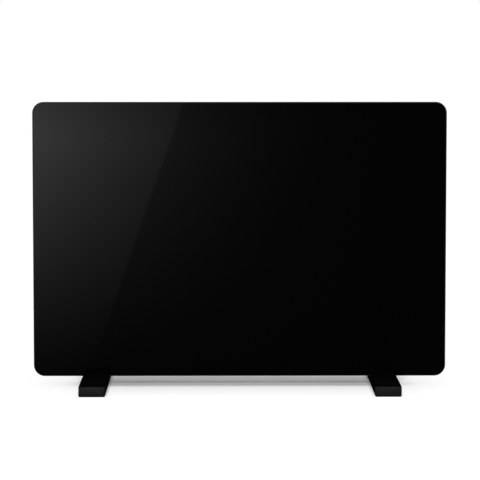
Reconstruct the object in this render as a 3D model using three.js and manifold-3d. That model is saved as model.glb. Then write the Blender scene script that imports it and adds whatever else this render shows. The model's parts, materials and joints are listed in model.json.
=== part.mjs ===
// Free-standing glass panel heater: a black glass front bonded to a shallow steel convector casing
// that stands on two flat foot bars. Millimetres, +Z up, the glass faces -Y, origin on the floor
// under the middle of the feet.

import * as THREE from 'three';
import { mergeVertices } from 'three/addons/utils/BufferGeometryUtils.js';
import Module from 'manifold-3d';

const wasm = await Module();
wasm.setup();

// Glass panel
const glassWidth = 740;
const glassHeight = 493;
const glassThickness = 5;
const glassCornerRadius = 20;
const glassEdgeChamfer = 1.2;
const glassGroundClearance = 20;
const glassFrontY = -20;

// Bonding strips and front frame
const bondThickness = 3;
const bondWidth = 12;
const frameSheet = 1.2;
const frameRail = 24;
const frameFlangeDepth = 12;
const frameWindowRadius = 10;

// Casing shell, the wall round the four sides
const casingSideInset = 75;
const casingTopInset = 32;
const casingBottomInset = 13;
const casingCornerRadius = 16;
const casingSheet = 1.2;
const casingBackY = 45;
const casingBackLip = 14;

// Back panel, its louvres and keyholes
const backPanelSheet = 1.2;
const backPanelMargin = 3;
const louvreEndMargin = 36;
const louvreGap = 14;
const louvrePitch = 17;
const louvreColumns = 6;
const louvreRows = 2;
const louvreReach = 4;
const louvreHeight = 8;
const louvreSheet = 1;
const louvreMargin = 48;
const keyholeSideInset = 115;
const keyholeTopInset = 100;
const keyholeBottomInset = 162;
const keyholeHeadRadius = 5.5;
const keyholeNeckWidth = 5.2;
const keyholeNeckLength = 12;

// Grilles in the top and the bottom of the casing
const outletEndMargin = 28;
const inletEndMargin = 65;
const grilleDepth = 34;
const grilleCornerRadius = 5;
const grilleFlange = 4;
const grilleSheet = 1.2;
const grilleWallHeight = 8;
const grilleBladeSheet = 1.2;
const grilleBladeCount = 6;
const grilleBladeTilt = 32;
const grilleRibCount = 3;

// Heat shield between the element and the glass
const shieldSheet = 0.8;
const shieldRim = 14;
const shieldDishDepth = 7;
const shieldDishSlope = 5;

// Heating element
const elementEndMargin = 53;
const elementRise = 95;
const elementTubeRadius = 8;
const elementBoreRadius = 4.7;
const elementWingSpread = 15;
const elementWingRise = 26;
const elementWingSheet = 2;
const elementFinLength = 5;
const elementNotchCount = 8;
const elementNotchWidth = 6;
const elementNotchDepth = 9;
const rodRadius = 4.3;
const rodOverhang = 26;
const bushRadius = 8.5;
const bushCollarRadius = 11;
const bushLength = 14;
const bushCollarLength = 3;
const terminalLength = 12;
const terminalWidth = 6.3;
const terminalSheet = 0.8;
const holderSheet = 1.5;
const holderWidth = 34;
const holderFoot = 16;

// Thermal cut-out on its bracket
const cutoutRadius = 8.5;
const cutoutHeight = 8;
const cutoutCapRadius = 6.5;
const cutoutCapHeight = 4;
const cutoutOffset = 29;
const cutoutRise = 82;
const cutoutArm = 15;

// Partition between the heating chamber and the control chamber
const controlBayWidth = 63;
const partitionSheet = 0.8;
const partitionFlange = 10;

// Control panel in the right side wall
const panelHeight = 160;
const panelDepth = 42;
const panelTopInset = 30;
const panelCornerRadius = 7;
const panelFlangeThickness = 2;
const panelFlange = 4;
const panelBodyDepth = 5;
const panelSkirtWall = 1.5;

// Places of the controls down the panel, as shares of its height
const knobDropShare = 0.1875;
const switchDropShares = [0.4875, 0.725];
const lampDropShare = 0.9125;

// Thermostat and its knob
const knobRadius = 16;
const knobHeight = 14;
const knobSkirtRadius = 17.5;
const knobSkirtHeight = 3;
const knobGripCount = 12;
const knobGripDepth = 0.9;
const knobEdgeRadius = 1;
const knobDraft = 0.6;
const knobFluteRadius = 2;
const knobBoreDepth = 10;
const knobPointerWidth = 2;
const knobPointerLength = 9;
const knobPointerRise = 0.8;
const shaftRadius = 3;
const shaftLength = 13;
const thermostatWidth = 30;
const thermostatHeight = 32;
const thermostatDepth = 22;
const thermostatNeckRadius = 6;
const thermostatTab = 8;

// Rocker switches
const switchBezelHeight = 31;
const switchBezelWidth = 15;
const switchBezelThickness = 2;
const switchBodyHeight = 27;
const switchBodyWidth = 11.6;
const switchBodyDepth = 20;
const rockerLength = 22.6;
const rockerWidth = 9;
const rockerTilt = 9;
const rockerReach = 5.2;
const rockerDip = 1.2;
const rockerSkirt = 5.6;
const rockerHubRadius = 5;
const rockerHubSpread = 90;
const rockerDishShares = [-1, -1 / 2, 0, 1 / 2, 1];
const rockerPivotRadius = 1.5;
const rockerPivotSink = 3;
const switchPocketDepth = 10;
const switchPinLength = 9;
const switchCutoutRadius = 0.5;
const switchPinWidth = 6.3;

// Indicator lamp
const lampRadius = 3.2;
const lampLensReach = 2.4;
const lampBodyLength = 14;

// Tilt switch, terminal block, leads and cord gland
const tiltWidth = 24;
const tiltHeight = 30;
const tiltDepth = 14;
const tiltRise = 35;
const tiltCornerRadius = 3;
const blockLength = 34;
const blockWidth = 18;
const blockHeight = 14;
const blockRise = 163;
const blockWayCount = 3;
const blockWayWidth = 6;
const blockWellDepth = 5;
const leadRadius = 1.5;
const leadTurn = 9;
const leadHoleRadius = 5;
const leadHoleRise = 24;
const glandThreadRadius = 7.6;
const glandHexRadius = 11;
const glandNutThickness = 4;
const glandHexThickness = 6;
const glandCapRadius = 9.5;
const glandCapLength = 12;
const glandCapTaper = 2.5;
const glandBoreRadius = 4;
const glandSideInset = 33;
const glandRise = 51;

// Feet
const footWidth = 46.5;
const footLength = 250;
const footSideInset = 11.5;
const footTopHeight = 17.5;
const footPadDrop = 2.6;
const footCornerRadius = 4;
const footEdgeRadius = 1.5;
const footWall = 3;
const footRibCount = 5;
const footRibSheet = 2;
const footPedestalWidth = 40;
const footPedestalDepth = 36;
const footPedestalDraft = 1.5;
const footPadLength = 34;
const footPadInset = 0.6;
const footPadGrip = 2;
const footScrewSpacing = 20;
const footScrewRadius = 2.5;
const footScrewHeadRadius = 5;
const footScrewHeadHeight = 3;
const footScrewLength = 19;
const footScrewHeadZ = 21;
const footBracketHeight = 12;
const footBracketDepth = 38;
const footBracketSheet = 2;
const footBracketLength = 32;

// Casing screws
const screwRadius = 1.9;
const screwHeadRadius = 3.8;
const screwHeadHeight = 2.2;
const screwLength = 5;
const sideScrewInset = 70;
const backScrewInsetX = 90;

// Clearances shared by mating pieces, and how far a cutting solid runs past what it cuts
const fitClearance = 0.3;
const turningClearance = 0.4;
const cutOverrun = 2;

// Points closer than this are one point
const mergeDistance = 0.0001;

// Smoothness of round forms
const glassCornerSteps = 8;
const cornerSteps = 4;
const edgeSteps = 3;
const roundSteps = 20;
const smallRoundSteps = 8;
const leadSides = 8;
const leadPointSteps = 3;

// Sizes that follow from the ones above
const glassCentreZ = glassGroundClearance + glassHeight / 2;
const glassBackY = glassFrontY + glassThickness;
const frameFrontY = glassBackY + bondThickness;
const frameBackY = frameFrontY + frameSheet;
const casingWidth = glassWidth - 2 * casingSideInset;
const casingHeight = glassHeight - casingTopInset - casingBottomInset;
const casingBottomZ = glassGroundClearance + casingBottomInset;
const casingHalf = casingWidth / 2;
const partitionX = casingHalf - controlBayWidth;
const glandX = casingHalf - glandSideInset;
const casingTopZ = casingBottomZ + casingHeight;
const casingCentreZ = casingBottomZ + casingHeight / 2;
const innerHalf = casingHalf - casingSheet;
const chamberLength = partitionX + innerHalf;
const innerBottomZ = casingBottomZ + casingSheet;
const innerTopZ = casingTopZ - casingSheet;
const frameWidth = 2 * (innerHalf - fitClearance);
const frameHeight = casingHeight - 2 * (casingSheet + fitClearance);
const frameRadius = casingCornerRadius - casingSheet;
const windowWidth = frameWidth - 2 * frameRail;
const windowHeight = frameHeight - 2 * frameRail;
const casingLipY = casingBackY - casingSheet;
const backPanelFrontY = casingBackY;
const backPanelBackY = backPanelFrontY + backPanelSheet;
const footCentreX = casingHalf - footSideInset - footWidth / 2;
const footUnderZ = footPadDrop;
const frameFlangeBackY = frameFrontY + frameFlangeDepth;
const chamberMiddleY = (frameFlangeBackY + casingLipY) / 2;
const grilleCentreX = (partitionX - innerHalf) / 2;
const outletLength = chamberLength - 2 * outletEndMargin;
const inletLength = chamberLength - 2 * inletEndMargin;
const louvreRowLength = chamberLength - 2 * louvreEndMargin;
const louvreLength = (louvreRowLength - (louvreColumns - 1) * louvreGap) / louvreColumns;
const keyholeSpacing = casingWidth - 2 * keyholeSideInset;
const grilleCentreY = chamberMiddleY;
const panelCentreY = chamberMiddleY;
const elementCentreX = grilleCentreX;
const elementLength = chamberLength - 2 * elementEndMargin;
const elementCentreZ = casingBottomZ + elementRise;
const cutoutX = elementCentreX - cutoutOffset;
const cutoutZ = elementCentreZ + cutoutRise;
const tiltCentreZ = casingBottomZ + tiltRise;
const blockCentreZ = casingBottomZ + blockRise;
const glandZ = casingBottomZ + glandRise;
const shieldFrontY = frameBackY;
const shieldBackY = shieldFrontY + shieldDishDepth + shieldSheet;
const elementY = (shieldBackY + casingLipY) / 2;
const casingMiddleY = (frameFrontY + casingBackY) / 2;
const panelFaceX = casingHalf + panelFlangeThickness;
const panelTopZ = casingTopZ - panelTopInset;
const panelCentreZ = panelTopZ - panelHeight / 2;
const knobZ = panelTopZ - knobDropShare * panelHeight;
const switchPinRise = switchBodyHeight / 4;
const switchZ = switchDropShares.map((share) => panelTopZ - share * panelHeight);
const lampZ = panelTopZ - lampDropShare * panelHeight;
const rockerPivotX = panelFaceX + switchBezelThickness - rockerPivotSink;

// Materials, each in the colour and finish of the real piece
function finish(color, roughness, metalness) {
  return new THREE.MeshStandardMaterial({ color, roughness, metalness });
}

const blackGlass = finish(0x050506, 0.04, 0.0);
const blackSilicone = finish(0x151515, 0.8, 0.0);
const blackSteel = finish(0x1b1b1c, 0.55, 0.2);
const galvanisedSteel = finish(0xb4b8bb, 0.4, 0.9);
const aluminium = finish(0xc3c5c8, 0.35, 0.95);
const sheathSteel = finish(0x6e6a64, 0.45, 0.9);
const whiteCeramic = finish(0xe9e6dd, 0.5, 0.0);
const blackPlastic = finish(0x1a1a1b, 0.45, 0.0);
const greyPlastic = finish(0xb9bab6, 0.5, 0.0);
const zincSteel = finish(0xc8c9c6, 0.3, 0.95);
const blackRubber = finish(0x101010, 0.85, 0.0);
const amberLens = finish(0xd6701c, 0.2, 0.0);
const brownLead = finish(0x5c3a22, 0.5, 0.0);
const blueLead = finish(0x27508f, 0.5, 0.0);
const blackLead = finish(0x181818, 0.5, 0.0);

const heater = new THREE.Group();

// Names a geometry, gives it its material and adds it to the model
function addPiece(name, geometry, material) {
  const piece = new THREE.Mesh(geometry, material);
  piece.name = name;
  heater.add(piece);
  return piece;
}

// Turns a closed three.js geometry into a solid that can be cut or joined
function toSolid(geometry) {
  const bare = geometry.clone();
  bare.deleteAttribute('normal');
  bare.deleteAttribute('uv');
  const merged = mergeVertices(bare, mergeDistance);
  const index = merged.index.array;
  const kept = [];
  for (let i = 0; i < index.length; i += 3) {
    const [a, b, c] = [index[i], index[i + 1], index[i + 2]];
    if (a !== b && b !== c && c !== a) {
      kept.push(a, b, c);
    }
  }
  const vertProperties = new Float32Array(merged.attributes.position.array);
  const triVerts = new Uint32Array(kept);
  return new wasm.Manifold(new wasm.Mesh({ numProp: 3, vertProperties, triVerts }));
}

// Turns a solid back into a geometry
function toGeometry(solid) {
  const mesh = solid.getMesh();
  const stride = mesh.numProp;
  const count = mesh.vertProperties.length / stride;
  const points = new Float32Array(count * 3);
  for (let i = 0; i < count; i += 1) {
    points.set(mesh.vertProperties.subarray(i * stride, i * stride + 3), i * 3);
  }
  const geometry = new THREE.BufferGeometry();
  geometry.setAttribute('position', new THREE.BufferAttribute(points, 3));
  geometry.setIndex(new THREE.BufferAttribute(new Uint32Array(mesh.triVerts), 1));
  return geometry;
}

// Cuts a list of geometries out of one geometry
function cut(geometry, tools) {
  let solid = toSolid(geometry);
  for (const tool of tools) {
    solid = solid.subtract(toSolid(tool));
  }
  return toGeometry(solid);
}

// Joins a list of geometries that meet or overlap into one
function join(geometries) {
  let solid = toSolid(geometries[0]);
  for (const geometry of geometries.slice(1)) {
    solid = solid.add(toSolid(geometry));
  }
  return toGeometry(solid);
}

// Block between two corners, given in either order
function block(x0, x1, y0, y1, z0, z1) {
  const geometry = new THREE.BoxGeometry(Math.abs(x1 - x0), Math.abs(y1 - y0), Math.abs(z1 - z0));
  return geometry.translate((x0 + x1) / 2, (y0 + y1) / 2, (z0 + z1) / 2);
}

// Points of a rectangle with round corners, anticlockwise, centred on 0,0
function roundedRectangle(width, height, radius, steps = cornerSteps) {
  const reachX = width / 2 - radius;
  const reachY = height / 2 - radius;
  const corners = [[reachX, -reachY], [reachX, reachY], [-reachX, reachY], [-reachX, -reachY]];
  return corners.flatMap(([x, y], corner) => Array.from({ length: steps + 1 }, (_, i) => {
    const angle = (corner - 1 + i / steps) * Math.PI / 2;
    return new THREE.Vector2(x + radius * Math.cos(angle), y + radius * Math.sin(angle));
  }));
}

// Skin over a stack of rings with the same number of points. Open stacks are closed by flat ends,
// and a looped stack joins its last ring to its first, as a frame does.
function loft(rings, looped = false) {
  const count = rings[0].length;
  const points = rings.flat();
  const faces = [];
  const pairs = looped ? rings.length : rings.length - 1;
  for (let r = 0; r < pairs; r += 1) {
    const near = r * count;
    const far = ((r + 1) % rings.length) * count;
    for (let i = 0; i < count; i += 1) {
      const next = (i + 1) % count;
      faces.push(near + i, near + next, far + next, near + i, far + next, far + i);
    }
  }
  if (!looped) {
    const last = (rings.length - 1) * count;
    for (let i = 1; i < count - 1; i += 1) {
      faces.push(0, i + 1, i);
      faces.push(last, last + i, last + i + 1);
    }
  }
  const geometry = new THREE.BufferGeometry().setFromPoints(points);
  geometry.setIndex(faces);
  return geometry;
}

// Ring of the upright plane: a rounded rectangle at depth y, centred on x, z
function uprightRing(width, height, radius, y, x, z, steps = cornerSteps) {
  return roundedRectangle(width, height, radius, steps).map(
    (p) => new THREE.Vector3(x - p.x, y, z + p.y));
}

// Lies a profile drawn in width and height along X: profile x becomes Y, profile y becomes Z
function extrudeAlongX(outline, x0, x1, holes = []) {
  const shape = new THREE.Shape(outline);
  shape.holes = holes.map((hole) => new THREE.Path(hole));
  const geometry = new THREE.ExtrudeGeometry(shape, { depth: x1 - x0, bevelEnabled: false });
  geometry.rotateX(Math.PI / 2);
  geometry.rotateZ(Math.PI / 2);
  return geometry.translate(x0, 0, 0);
}

// Stands a plan outline up from z0 to z1
function extrudeUp(outline, z0, z1, holes = []) {
  const shape = new THREE.Shape(outline);
  shape.holes = holes.map((hole) => new THREE.Path(hole));
  const geometry = new THREE.ExtrudeGeometry(shape, { depth: z1 - z0, bevelEnabled: false });
  return geometry.translate(0, 0, z0);
}

// Carries an outline drawn in X and Z from y0 back to y1
function extrudeBack(outline, y0, y1, holes = []) {
  const shape = new THREE.Shape(outline);
  shape.holes = holes.map((hole) => new THREE.Path(hole));
  const geometry = new THREE.ExtrudeGeometry(shape, { depth: y1 - y0, bevelEnabled: false });
  geometry.rotateX(Math.PI / 2);
  return geometry.translate(0, y1, 0);
}

// Turned form: a profile of radius and height that closes on the axis or on itself, spun about Z
function turned(profile, steps = roundSteps) {
  const form = new THREE.LatheGeometry(profile.map(([r, h]) => new THREE.Vector2(r, h)), steps);
  return toGeometry(toSolid(form.rotateX(Math.PI / 2)));
}

// Solid cylinder from h0 to h1 on Z
function cylinder(radius, h0, h1, steps = roundSteps) {
  return turned([[0, h0], [radius, h0], [radius, h1], [0, h1]], steps);
}

// Turns a form that points up into one that points right, left, back or front
const pointRight = (geometry) => geometry.rotateY(Math.PI / 2);
const pointLeft = (geometry) => geometry.rotateY(-Math.PI / 2);
const pointBack = (geometry) => geometry.rotateX(-Math.PI / 2);
const pointFront = (geometry) => geometry.rotateX(Math.PI / 2);

// Circle outline for a hole
function circle(radius, x = 0, y = 0, steps = smallRoundSteps) {
  return Array.from({ length: steps }, (_, i) => {
    const angle = i * 2 * Math.PI / steps;
    return new THREE.Vector2(x + radius * Math.cos(angle), y + radius * Math.sin(angle));
  });
}

function moveOutline(outline, x, y) {
  return outline.map((p) => new THREE.Vector2(p.x + x, p.y + y));
}

// Glass panel: toughened glass with round corners and a ground chamfer on both faces
function makeGlass() {
  const inset = 2 * glassEdgeChamfer;
  const ring = (less, y) => uprightRing(
    glassWidth - less, glassHeight - less, glassCornerRadius - less / 2, y, 0, glassCentreZ,
    glassCornerSteps);
  return loft([
    ring(inset, glassFrontY),
    ring(0, glassFrontY + glassEdgeChamfer),
    ring(0, glassBackY - glassEdgeChamfer),
    ring(inset, glassBackY),
  ]);
}

// Silicone strips that bond the glass to the front frame, along the middle of each rail
function makeBonds() {
  const railX = (frameWidth - frameRail) / 2;
  const railZ = (frameHeight - frameRail) / 2;
  const half = bondWidth / 2;
  const strip = (x0, x1, z0, z1) => block(
    x0, x1, glassBackY, frameFrontY, casingCentreZ + z0, casingCentreZ + z1);
  const reach = railZ - half - fitClearance;
  return {
    bond_strip_top: strip(-railX - half, railX + half, railZ - half, railZ + half),
    bond_strip_bottom: strip(-railX - half, railX + half, -railZ - half, -railZ + half),
    bond_strip_left: strip(-railX - half, -railX + half, -reach, reach),
    bond_strip_right: strip(railX - half, railX + half, -reach, reach),
  };
}

// Front frame: a pressed steel pan with a window, whose flange slides inside the casing shell
function makeFrontFrame() {
  const ring = (width, height, radius, y) => uprightRing(width, height, radius, y, 0, casingCentreZ);
  const flange = 2 * frameSheet;
  const pan = loft([
    ring(windowWidth, windowHeight, frameWindowRadius, frameFrontY),
    ring(frameWidth - flange, frameHeight - flange, frameRadius - frameSheet, frameFrontY),
    ring(frameWidth, frameHeight, frameRadius, frameBackY),
    ring(frameWidth, frameHeight, frameRadius, frameFlangeBackY),
    ring(frameWidth - flange, frameHeight - flange, frameRadius - frameSheet, frameFlangeBackY),
    ring(frameWidth - flange, frameHeight - flange, frameRadius - frameSheet, frameBackY),
    ring(windowWidth, windowHeight, frameWindowRadius, frameBackY),
  ], true);
  return cut(pan, sideScrewPlaces().map(screwHole));
}

// Heat shield: a galvanised dish that keeps the element's heat off the glass
function makeHeatShield() {
  const rimWidth = windowWidth + 2 * shieldRim;
  const rimHeight = windowHeight + 2 * shieldRim;
  const mouth = [windowWidth - 2 * shieldRim, windowHeight - 2 * shieldRim];
  const floor = mouth.map((size) => size - 2 * shieldDishSlope);
  const ring = ([width, height], y) => uprightRing(width, height, frameWindowRadius, y, 0, casingCentreZ);
  return loft([
    ring(floor, shieldFrontY + shieldDishDepth),
    ring(mouth, shieldFrontY),
    ring([rimWidth, rimHeight], shieldFrontY),
    ring([rimWidth, rimHeight], shieldFrontY + shieldSheet),
    ring(mouth, shieldFrontY + shieldSheet),
    ring(floor, shieldBackY),
  ]);
}

// Places of the screws through the shell's side walls into the frame's flange
function sideScrewPlaces() {
  const y = (frameBackY + frameFlangeBackY) / 2;
  const heights = [casingBottomZ + sideScrewInset, casingTopZ - sideScrewInset];
  return [-1, 1].flatMap((side) => heights.map((z) => ({ side, x: side * casingHalf, y, z })));
}

// Places of the screws through the back panel into the shell's lip
function backScrewPlaces() {
  const x = casingHalf - backScrewInsetX;
  const rise = casingHeight / 2 - casingBackLip / 2;
  return [[-x, rise], [x, rise], [-x, -rise], [x, -rise]].map(([px, dz]) => ({
    side: 0, x: px, y: backPanelBackY, z: casingCentreZ + dz,
  }));
}

// Pan-head screw with its head on the outer face, its shank pointing into the casing
function screw({ side, x, y, z }) {
  const form = turned([
    [0, -screwLength],
    [screwRadius, -screwLength],
    [screwRadius, 0],
    [screwHeadRadius, 0],
    [screwHeadRadius, screwHeadHeight / 2],
    [screwHeadRadius - screwHeadHeight / 2, screwHeadHeight],
    [0, screwHeadHeight],
  ], smallRoundSteps);
  const aimed = side === 0 ? pointBack(form) : (side > 0 ? pointRight(form) : pointLeft(form));
  return aimed.translate(x, y, z);
}

// Clearance hole for such a screw
function screwHole({ side, x, y, z }) {
  const radius = screwRadius + fitClearance;
  const form = cylinder(radius, -screwLength - cutOverrun, cutOverrun, smallRoundSteps);
  const aimed = side === 0 ? pointBack(form) : (side > 0 ? pointRight(form) : pointLeft(form));
  return aimed.translate(x, y, z);
}

// Casing shell: the steel wall round the four sides with a lip for the back panel
function makeCasingShell() {
  const ring = (less, radius, y) => uprightRing(
    casingWidth - 2 * less, casingHeight - 2 * less, radius, y, 0, casingCentreZ);
  const innerRadius = casingCornerRadius - casingSheet;
  const shell = loft([
    ring(0, casingCornerRadius, frameFrontY),
    ring(0, casingCornerRadius, casingLipY),
    ring(casingSheet, innerRadius, casingBackY),
    ring(casingBackLip, innerRadius, casingBackY),
    ring(casingBackLip, innerRadius, casingLipY),
    ring(casingSheet, innerRadius, casingLipY),
    ring(casingSheet, innerRadius, frameFrontY),
  ], true);
  const openings = [
    extrudeUp(grilleHole(outletLength), casingTopZ - casingSheet - cutOverrun, casingTopZ + cutOverrun),
    extrudeUp(grilleHole(inletLength), casingBottomZ - cutOverrun, innerBottomZ + cutOverrun),
    extrudeAlongX(panelHole(0), innerHalf - cutOverrun, casingHalf + cutOverrun),
  ];
  const screws = [...sideScrewPlaces(), ...backScrewPlaces()].map(screwHole);
  const footHoles = footScrewPlaces().map(({ x, y }) => cylinder(
    footScrewRadius + fitClearance, casingBottomZ - cutOverrun, innerBottomZ + cutOverrun,
    smallRoundSteps).translate(x, y, 0));
  return cut(shell, [...openings, ...screws, ...footHoles]);
}

// Outline of the cut-out that a grille drops into
function grilleHole(length) {
  return moveOutline(
    roundedRectangle(length, grilleDepth, grilleCornerRadius), grilleCentreX, grilleCentreY);
}

// Outline of the cut-out for the control panel, less an allowance all round
function panelHole(less) {
  const width = panelDepth - 2 * panelFlange - 2 * less;
  const height = panelHeight - 2 * panelFlange - 2 * less;
  return moveOutline(
    roundedRectangle(width, height, panelCornerRadius - panelFlange / 2), panelCentreY, panelCentreZ);
}

// Grille: a flanged frame with tilted blades and cross ribs, seated on a wall at height z.
// It stands proud on the side given by out: +1 on top of the casing, -1 under it.
function makeGrille(length, z, out) {
  const bodyLength = length - 2 * fitClearance;
  const bodyDepth = grilleDepth - 2 * fitClearance;
  const outer = roundedRectangle(length + 2 * grilleFlange, grilleDepth + 2 * grilleFlange,
    grilleCornerRadius + grilleFlange);
  const body = roundedRectangle(bodyLength, bodyDepth, grilleCornerRadius);
  const inner = roundedRectangle(bodyLength - 2 * grilleSheet, bodyDepth - 2 * grilleSheet,
    grilleCornerRadius - grilleSheet);
  const flange = extrudeUp(outer, 0, grilleSheet, [inner]);
  const wall = extrudeUp(body, -grilleWallHeight, grilleSheet / 2, [inner]);
  const clearDepth = bodyDepth - 2 * grilleSheet;
  const pitch = clearDepth / grilleBladeCount;
  const bladeHalf = (bodyLength - grilleSheet) / 2;
  const bladeHeight = grilleWallHeight / 2;
  const blades = Array.from({ length: grilleBladeCount - 1 }, (_, i) => {
    const blade = block(-bladeHalf, bladeHalf, -grilleBladeSheet / 2, grilleBladeSheet / 2,
      -bladeHeight / 2, bladeHeight / 2);
    blade.rotateX(THREE.MathUtils.degToRad(grilleBladeTilt));
    return blade.translate(0, -clearDepth / 2 + (i + 1) * pitch, -grilleWallHeight / 2);
  });
  const ribPitch = bodyLength / (grilleRibCount + 1);
  const ribHalf = (bodyDepth - grilleSheet) / 2;
  const ribs = Array.from({ length: grilleRibCount }, (_, i) => block(
    -grilleSheet / 2, grilleSheet / 2, -ribHalf, ribHalf,
    -grilleWallHeight, -grilleWallHeight / 2)
    .translate(-bodyLength / 2 + (i + 1) * ribPitch, 0, 0));
  const grille = join([flange, wall, ...ribs, ...blades]);
  if (out < 0) {
    grille.rotateX(Math.PI);
  }
  return grille.translate(grilleCentreX, grilleCentreY, z);
}

// Keyhole outline: a round mouth that the screw head passes, and a neck above it
function keyhole(x, z) {
  const half = keyholeNeckWidth / 2;
  const spread = Math.asin(half / keyholeHeadRadius);
  const top = Math.PI / 2;
  const mouth = Array.from({ length: smallRoundSteps + 1 }, (_, i) => {
    const angle = top + spread + i * (2 * Math.PI - 2 * spread) / smallRoundSteps;
    return new THREE.Vector2(keyholeHeadRadius * Math.cos(angle), keyholeHeadRadius * Math.sin(angle));
  });
  const neckTop = keyholeHeadRadius + keyholeNeckLength - half;
  const neck = Array.from({ length: 2 * edgeSteps + 1 }, (_, i) => {
    const angle = i * Math.PI / 2 / edgeSteps;
    return new THREE.Vector2(half * Math.cos(angle), neckTop + half * Math.sin(angle));
  });
  return moveOutline([...mouth, ...neck], x, z);
}

// Centres of the four keyholes' round mouths
function keyholePlaces() {
  const x = keyholeSpacing / 2;
  const top = casingTopZ - keyholeTopInset;
  const bottom = casingBottomZ + keyholeBottomInset;
  return [[-x, top], [x, top], [-x, bottom], [x, bottom]];
}

// Outer skin of one louvre hood and the hollow under it, open downwards
function louvreForms(x, z) {
  const y = backPanelBackY;
  const arc = (reach, height) => Array.from({ length: edgeSteps }, (_, i) => {
    const angle = i * Math.PI / 2 / edgeSteps;
    return new THREE.Vector2(y + reach * Math.cos(angle), z + height * Math.sin(angle));
  });
  const root = y - backPanelSheet / 2;
  const skin = [
    new THREE.Vector2(root, z),
    ...arc(louvreReach, louvreHeight),
    new THREE.Vector2(root, z + louvreHeight),
  ];
  const open = backPanelFrontY - cutOverrun;
  const hollowHeight = louvreHeight - louvreSheet;
  const hollow = [
    new THREE.Vector2(open, z),
    new THREE.Vector2(y, z),
    new THREE.Vector2(y, z - cutOverrun),
    new THREE.Vector2(y + louvreReach - louvreSheet, z - cutOverrun),
    ...arc(louvreReach - louvreSheet, hollowHeight),
    new THREE.Vector2(open, z + hollowHeight),
  ];
  const half = louvreLength / 2;
  return {
    skin: extrudeAlongX(skin, x - half, x + half),
    hollow: extrudeAlongX(hollow, x - half + louvreSheet, x + half - louvreSheet),
  };
}

// Lower left corners of the louvres: a field of rows above the floor and one under the top
function louvrePlaces() {
  const step = louvreLength + louvreGap;
  const columns = Array.from({ length: louvreColumns }, (_, i) =>
    grilleCentreX + (i - (louvreColumns - 1) / 2) * step);
  const low = casingBottomZ + louvreMargin;
  const high = casingTopZ - louvreMargin;
  const rows = Array.from({ length: louvreRows }, (_, i) => i * louvrePitch);
  return rows.flatMap((rise) => columns.flatMap((x) => [[x, low + rise], [x, high - rise]]));
}

// Back panel: flat steel sheet with lanced louvres, keyholes and the hole for the cord gland
function makeBackPanel() {
  const outline = moveOutline(roundedRectangle(casingWidth - 2 * backPanelMargin,
    casingHeight - 2 * backPanelMargin, casingCornerRadius - backPanelMargin), 0, casingCentreZ);
  const screwHoles = backScrewPlaces().map(({ x, z }) => circle(screwRadius + fitClearance, x, z));
  const glandHole = circle(glandThreadRadius + fitClearance, glandX, glandZ, roundSteps);
  const keyholes = keyholePlaces().map(([x, z]) => keyhole(x, z));
  const sheet = extrudeBack(outline, backPanelFrontY, backPanelBackY,
    [...screwHoles, glandHole, ...keyholes]);
  const louvres = louvrePlaces().map(([x, z]) => louvreForms(x, z));
  return cut(join([sheet, ...louvres.map(({ skin }) => skin)]), louvres.map(({ hollow }) => hollow));
}

// Outline of a straight bar of even thickness between two points
function bar(x0, y0, x1, y1, thickness) {
  const along = new THREE.Vector2(x1 - x0, y1 - y0).normalize();
  const across = new THREE.Vector2(-along.y, along.x).multiplyScalar(thickness / 2);
  return [
    new THREE.Vector2(x0 - across.x, y0 - across.y),
    new THREE.Vector2(x1 - across.x, y1 - across.y),
    new THREE.Vector2(x1 + across.x, y1 + across.y),
    new THREE.Vector2(x0 + across.x, y0 + across.y),
  ];
}

// Aluminium heating profile: a tube with four wings in an X, notched along their tips
function makeElementProfile() {
  const x0 = elementCentreX - elementLength / 2;
  const x1 = elementCentreX + elementLength / 2;
  const core = extrudeAlongX(circle(elementTubeRadius, 0, 0, roundSteps), x0, x1);
  const wings = [[1, 1], [-1, 1], [-1, -1], [1, -1]].flatMap(([sy, sz]) => {
    const tipY = sy * elementWingSpread;
    const tipZ = sz * elementWingRise;
    const web = bar(0, 0, tipY, tipZ, elementWingSheet);
    const lip = bar(tipY, tipZ + sz * elementWingSheet / 2, tipY, tipZ - sz * elementFinLength,
      elementWingSheet);
    return [extrudeAlongX(web, x0, x1), extrudeAlongX(lip, x0, x1)];
  });
  const pitch = elementLength / (elementNotchCount + 1);
  const reachY = elementWingSpread + elementWingSheet + cutOverrun;
  const reachZ = elementWingRise + elementWingSheet + cutOverrun;
  const notches = Array.from({ length: elementNotchCount }, (_, i) => x0 + (i + 1) * pitch)
    .flatMap((x) => [-1, 1].map((side) => block(x - elementNotchWidth / 2, x + elementNotchWidth / 2,
      -reachY, reachY, side * (elementWingRise - elementNotchDepth), side * reachZ)));
  const bore = extrudeAlongX(circle(elementBoreRadius, 0, 0, roundSteps), x0 - cutOverrun, x1 + cutOverrun);
  return cut(join([core, ...wings]), [bore, ...notches]).translate(0, elementY, elementCentreZ);
}

// Sheathed rod that carries the coil through the profile
function makeElementRod() {
  const half = elementLength / 2 + rodOverhang;
  return pointRight(cylinder(rodRadius, -half, half)).translate(elementCentreX, elementY, elementCentreZ);
}

// Distance from the element's middle to a holder's inner face
function holderReach() {
  return elementLength / 2 + fitClearance + bushCollarLength;
}

// Ceramic bush: a collar against the holder and a barrel through it
function makeBush(side) {
  const bore = rodRadius + fitClearance;
  const form = turned([
    [bore, -bushCollarLength],
    [bushCollarRadius, -bushCollarLength],
    [bushCollarRadius, 0],
    [bushRadius, 0],
    [bushRadius, bushLength - bushCollarLength],
    [bore, bushLength - bushCollarLength],
    [bore, -bushCollarLength],
  ]);
  const aimed = side > 0 ? pointRight(form) : pointLeft(form);
  return aimed.translate(elementCentreX + side * holderReach(), elementY, elementCentreZ);
}

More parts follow.
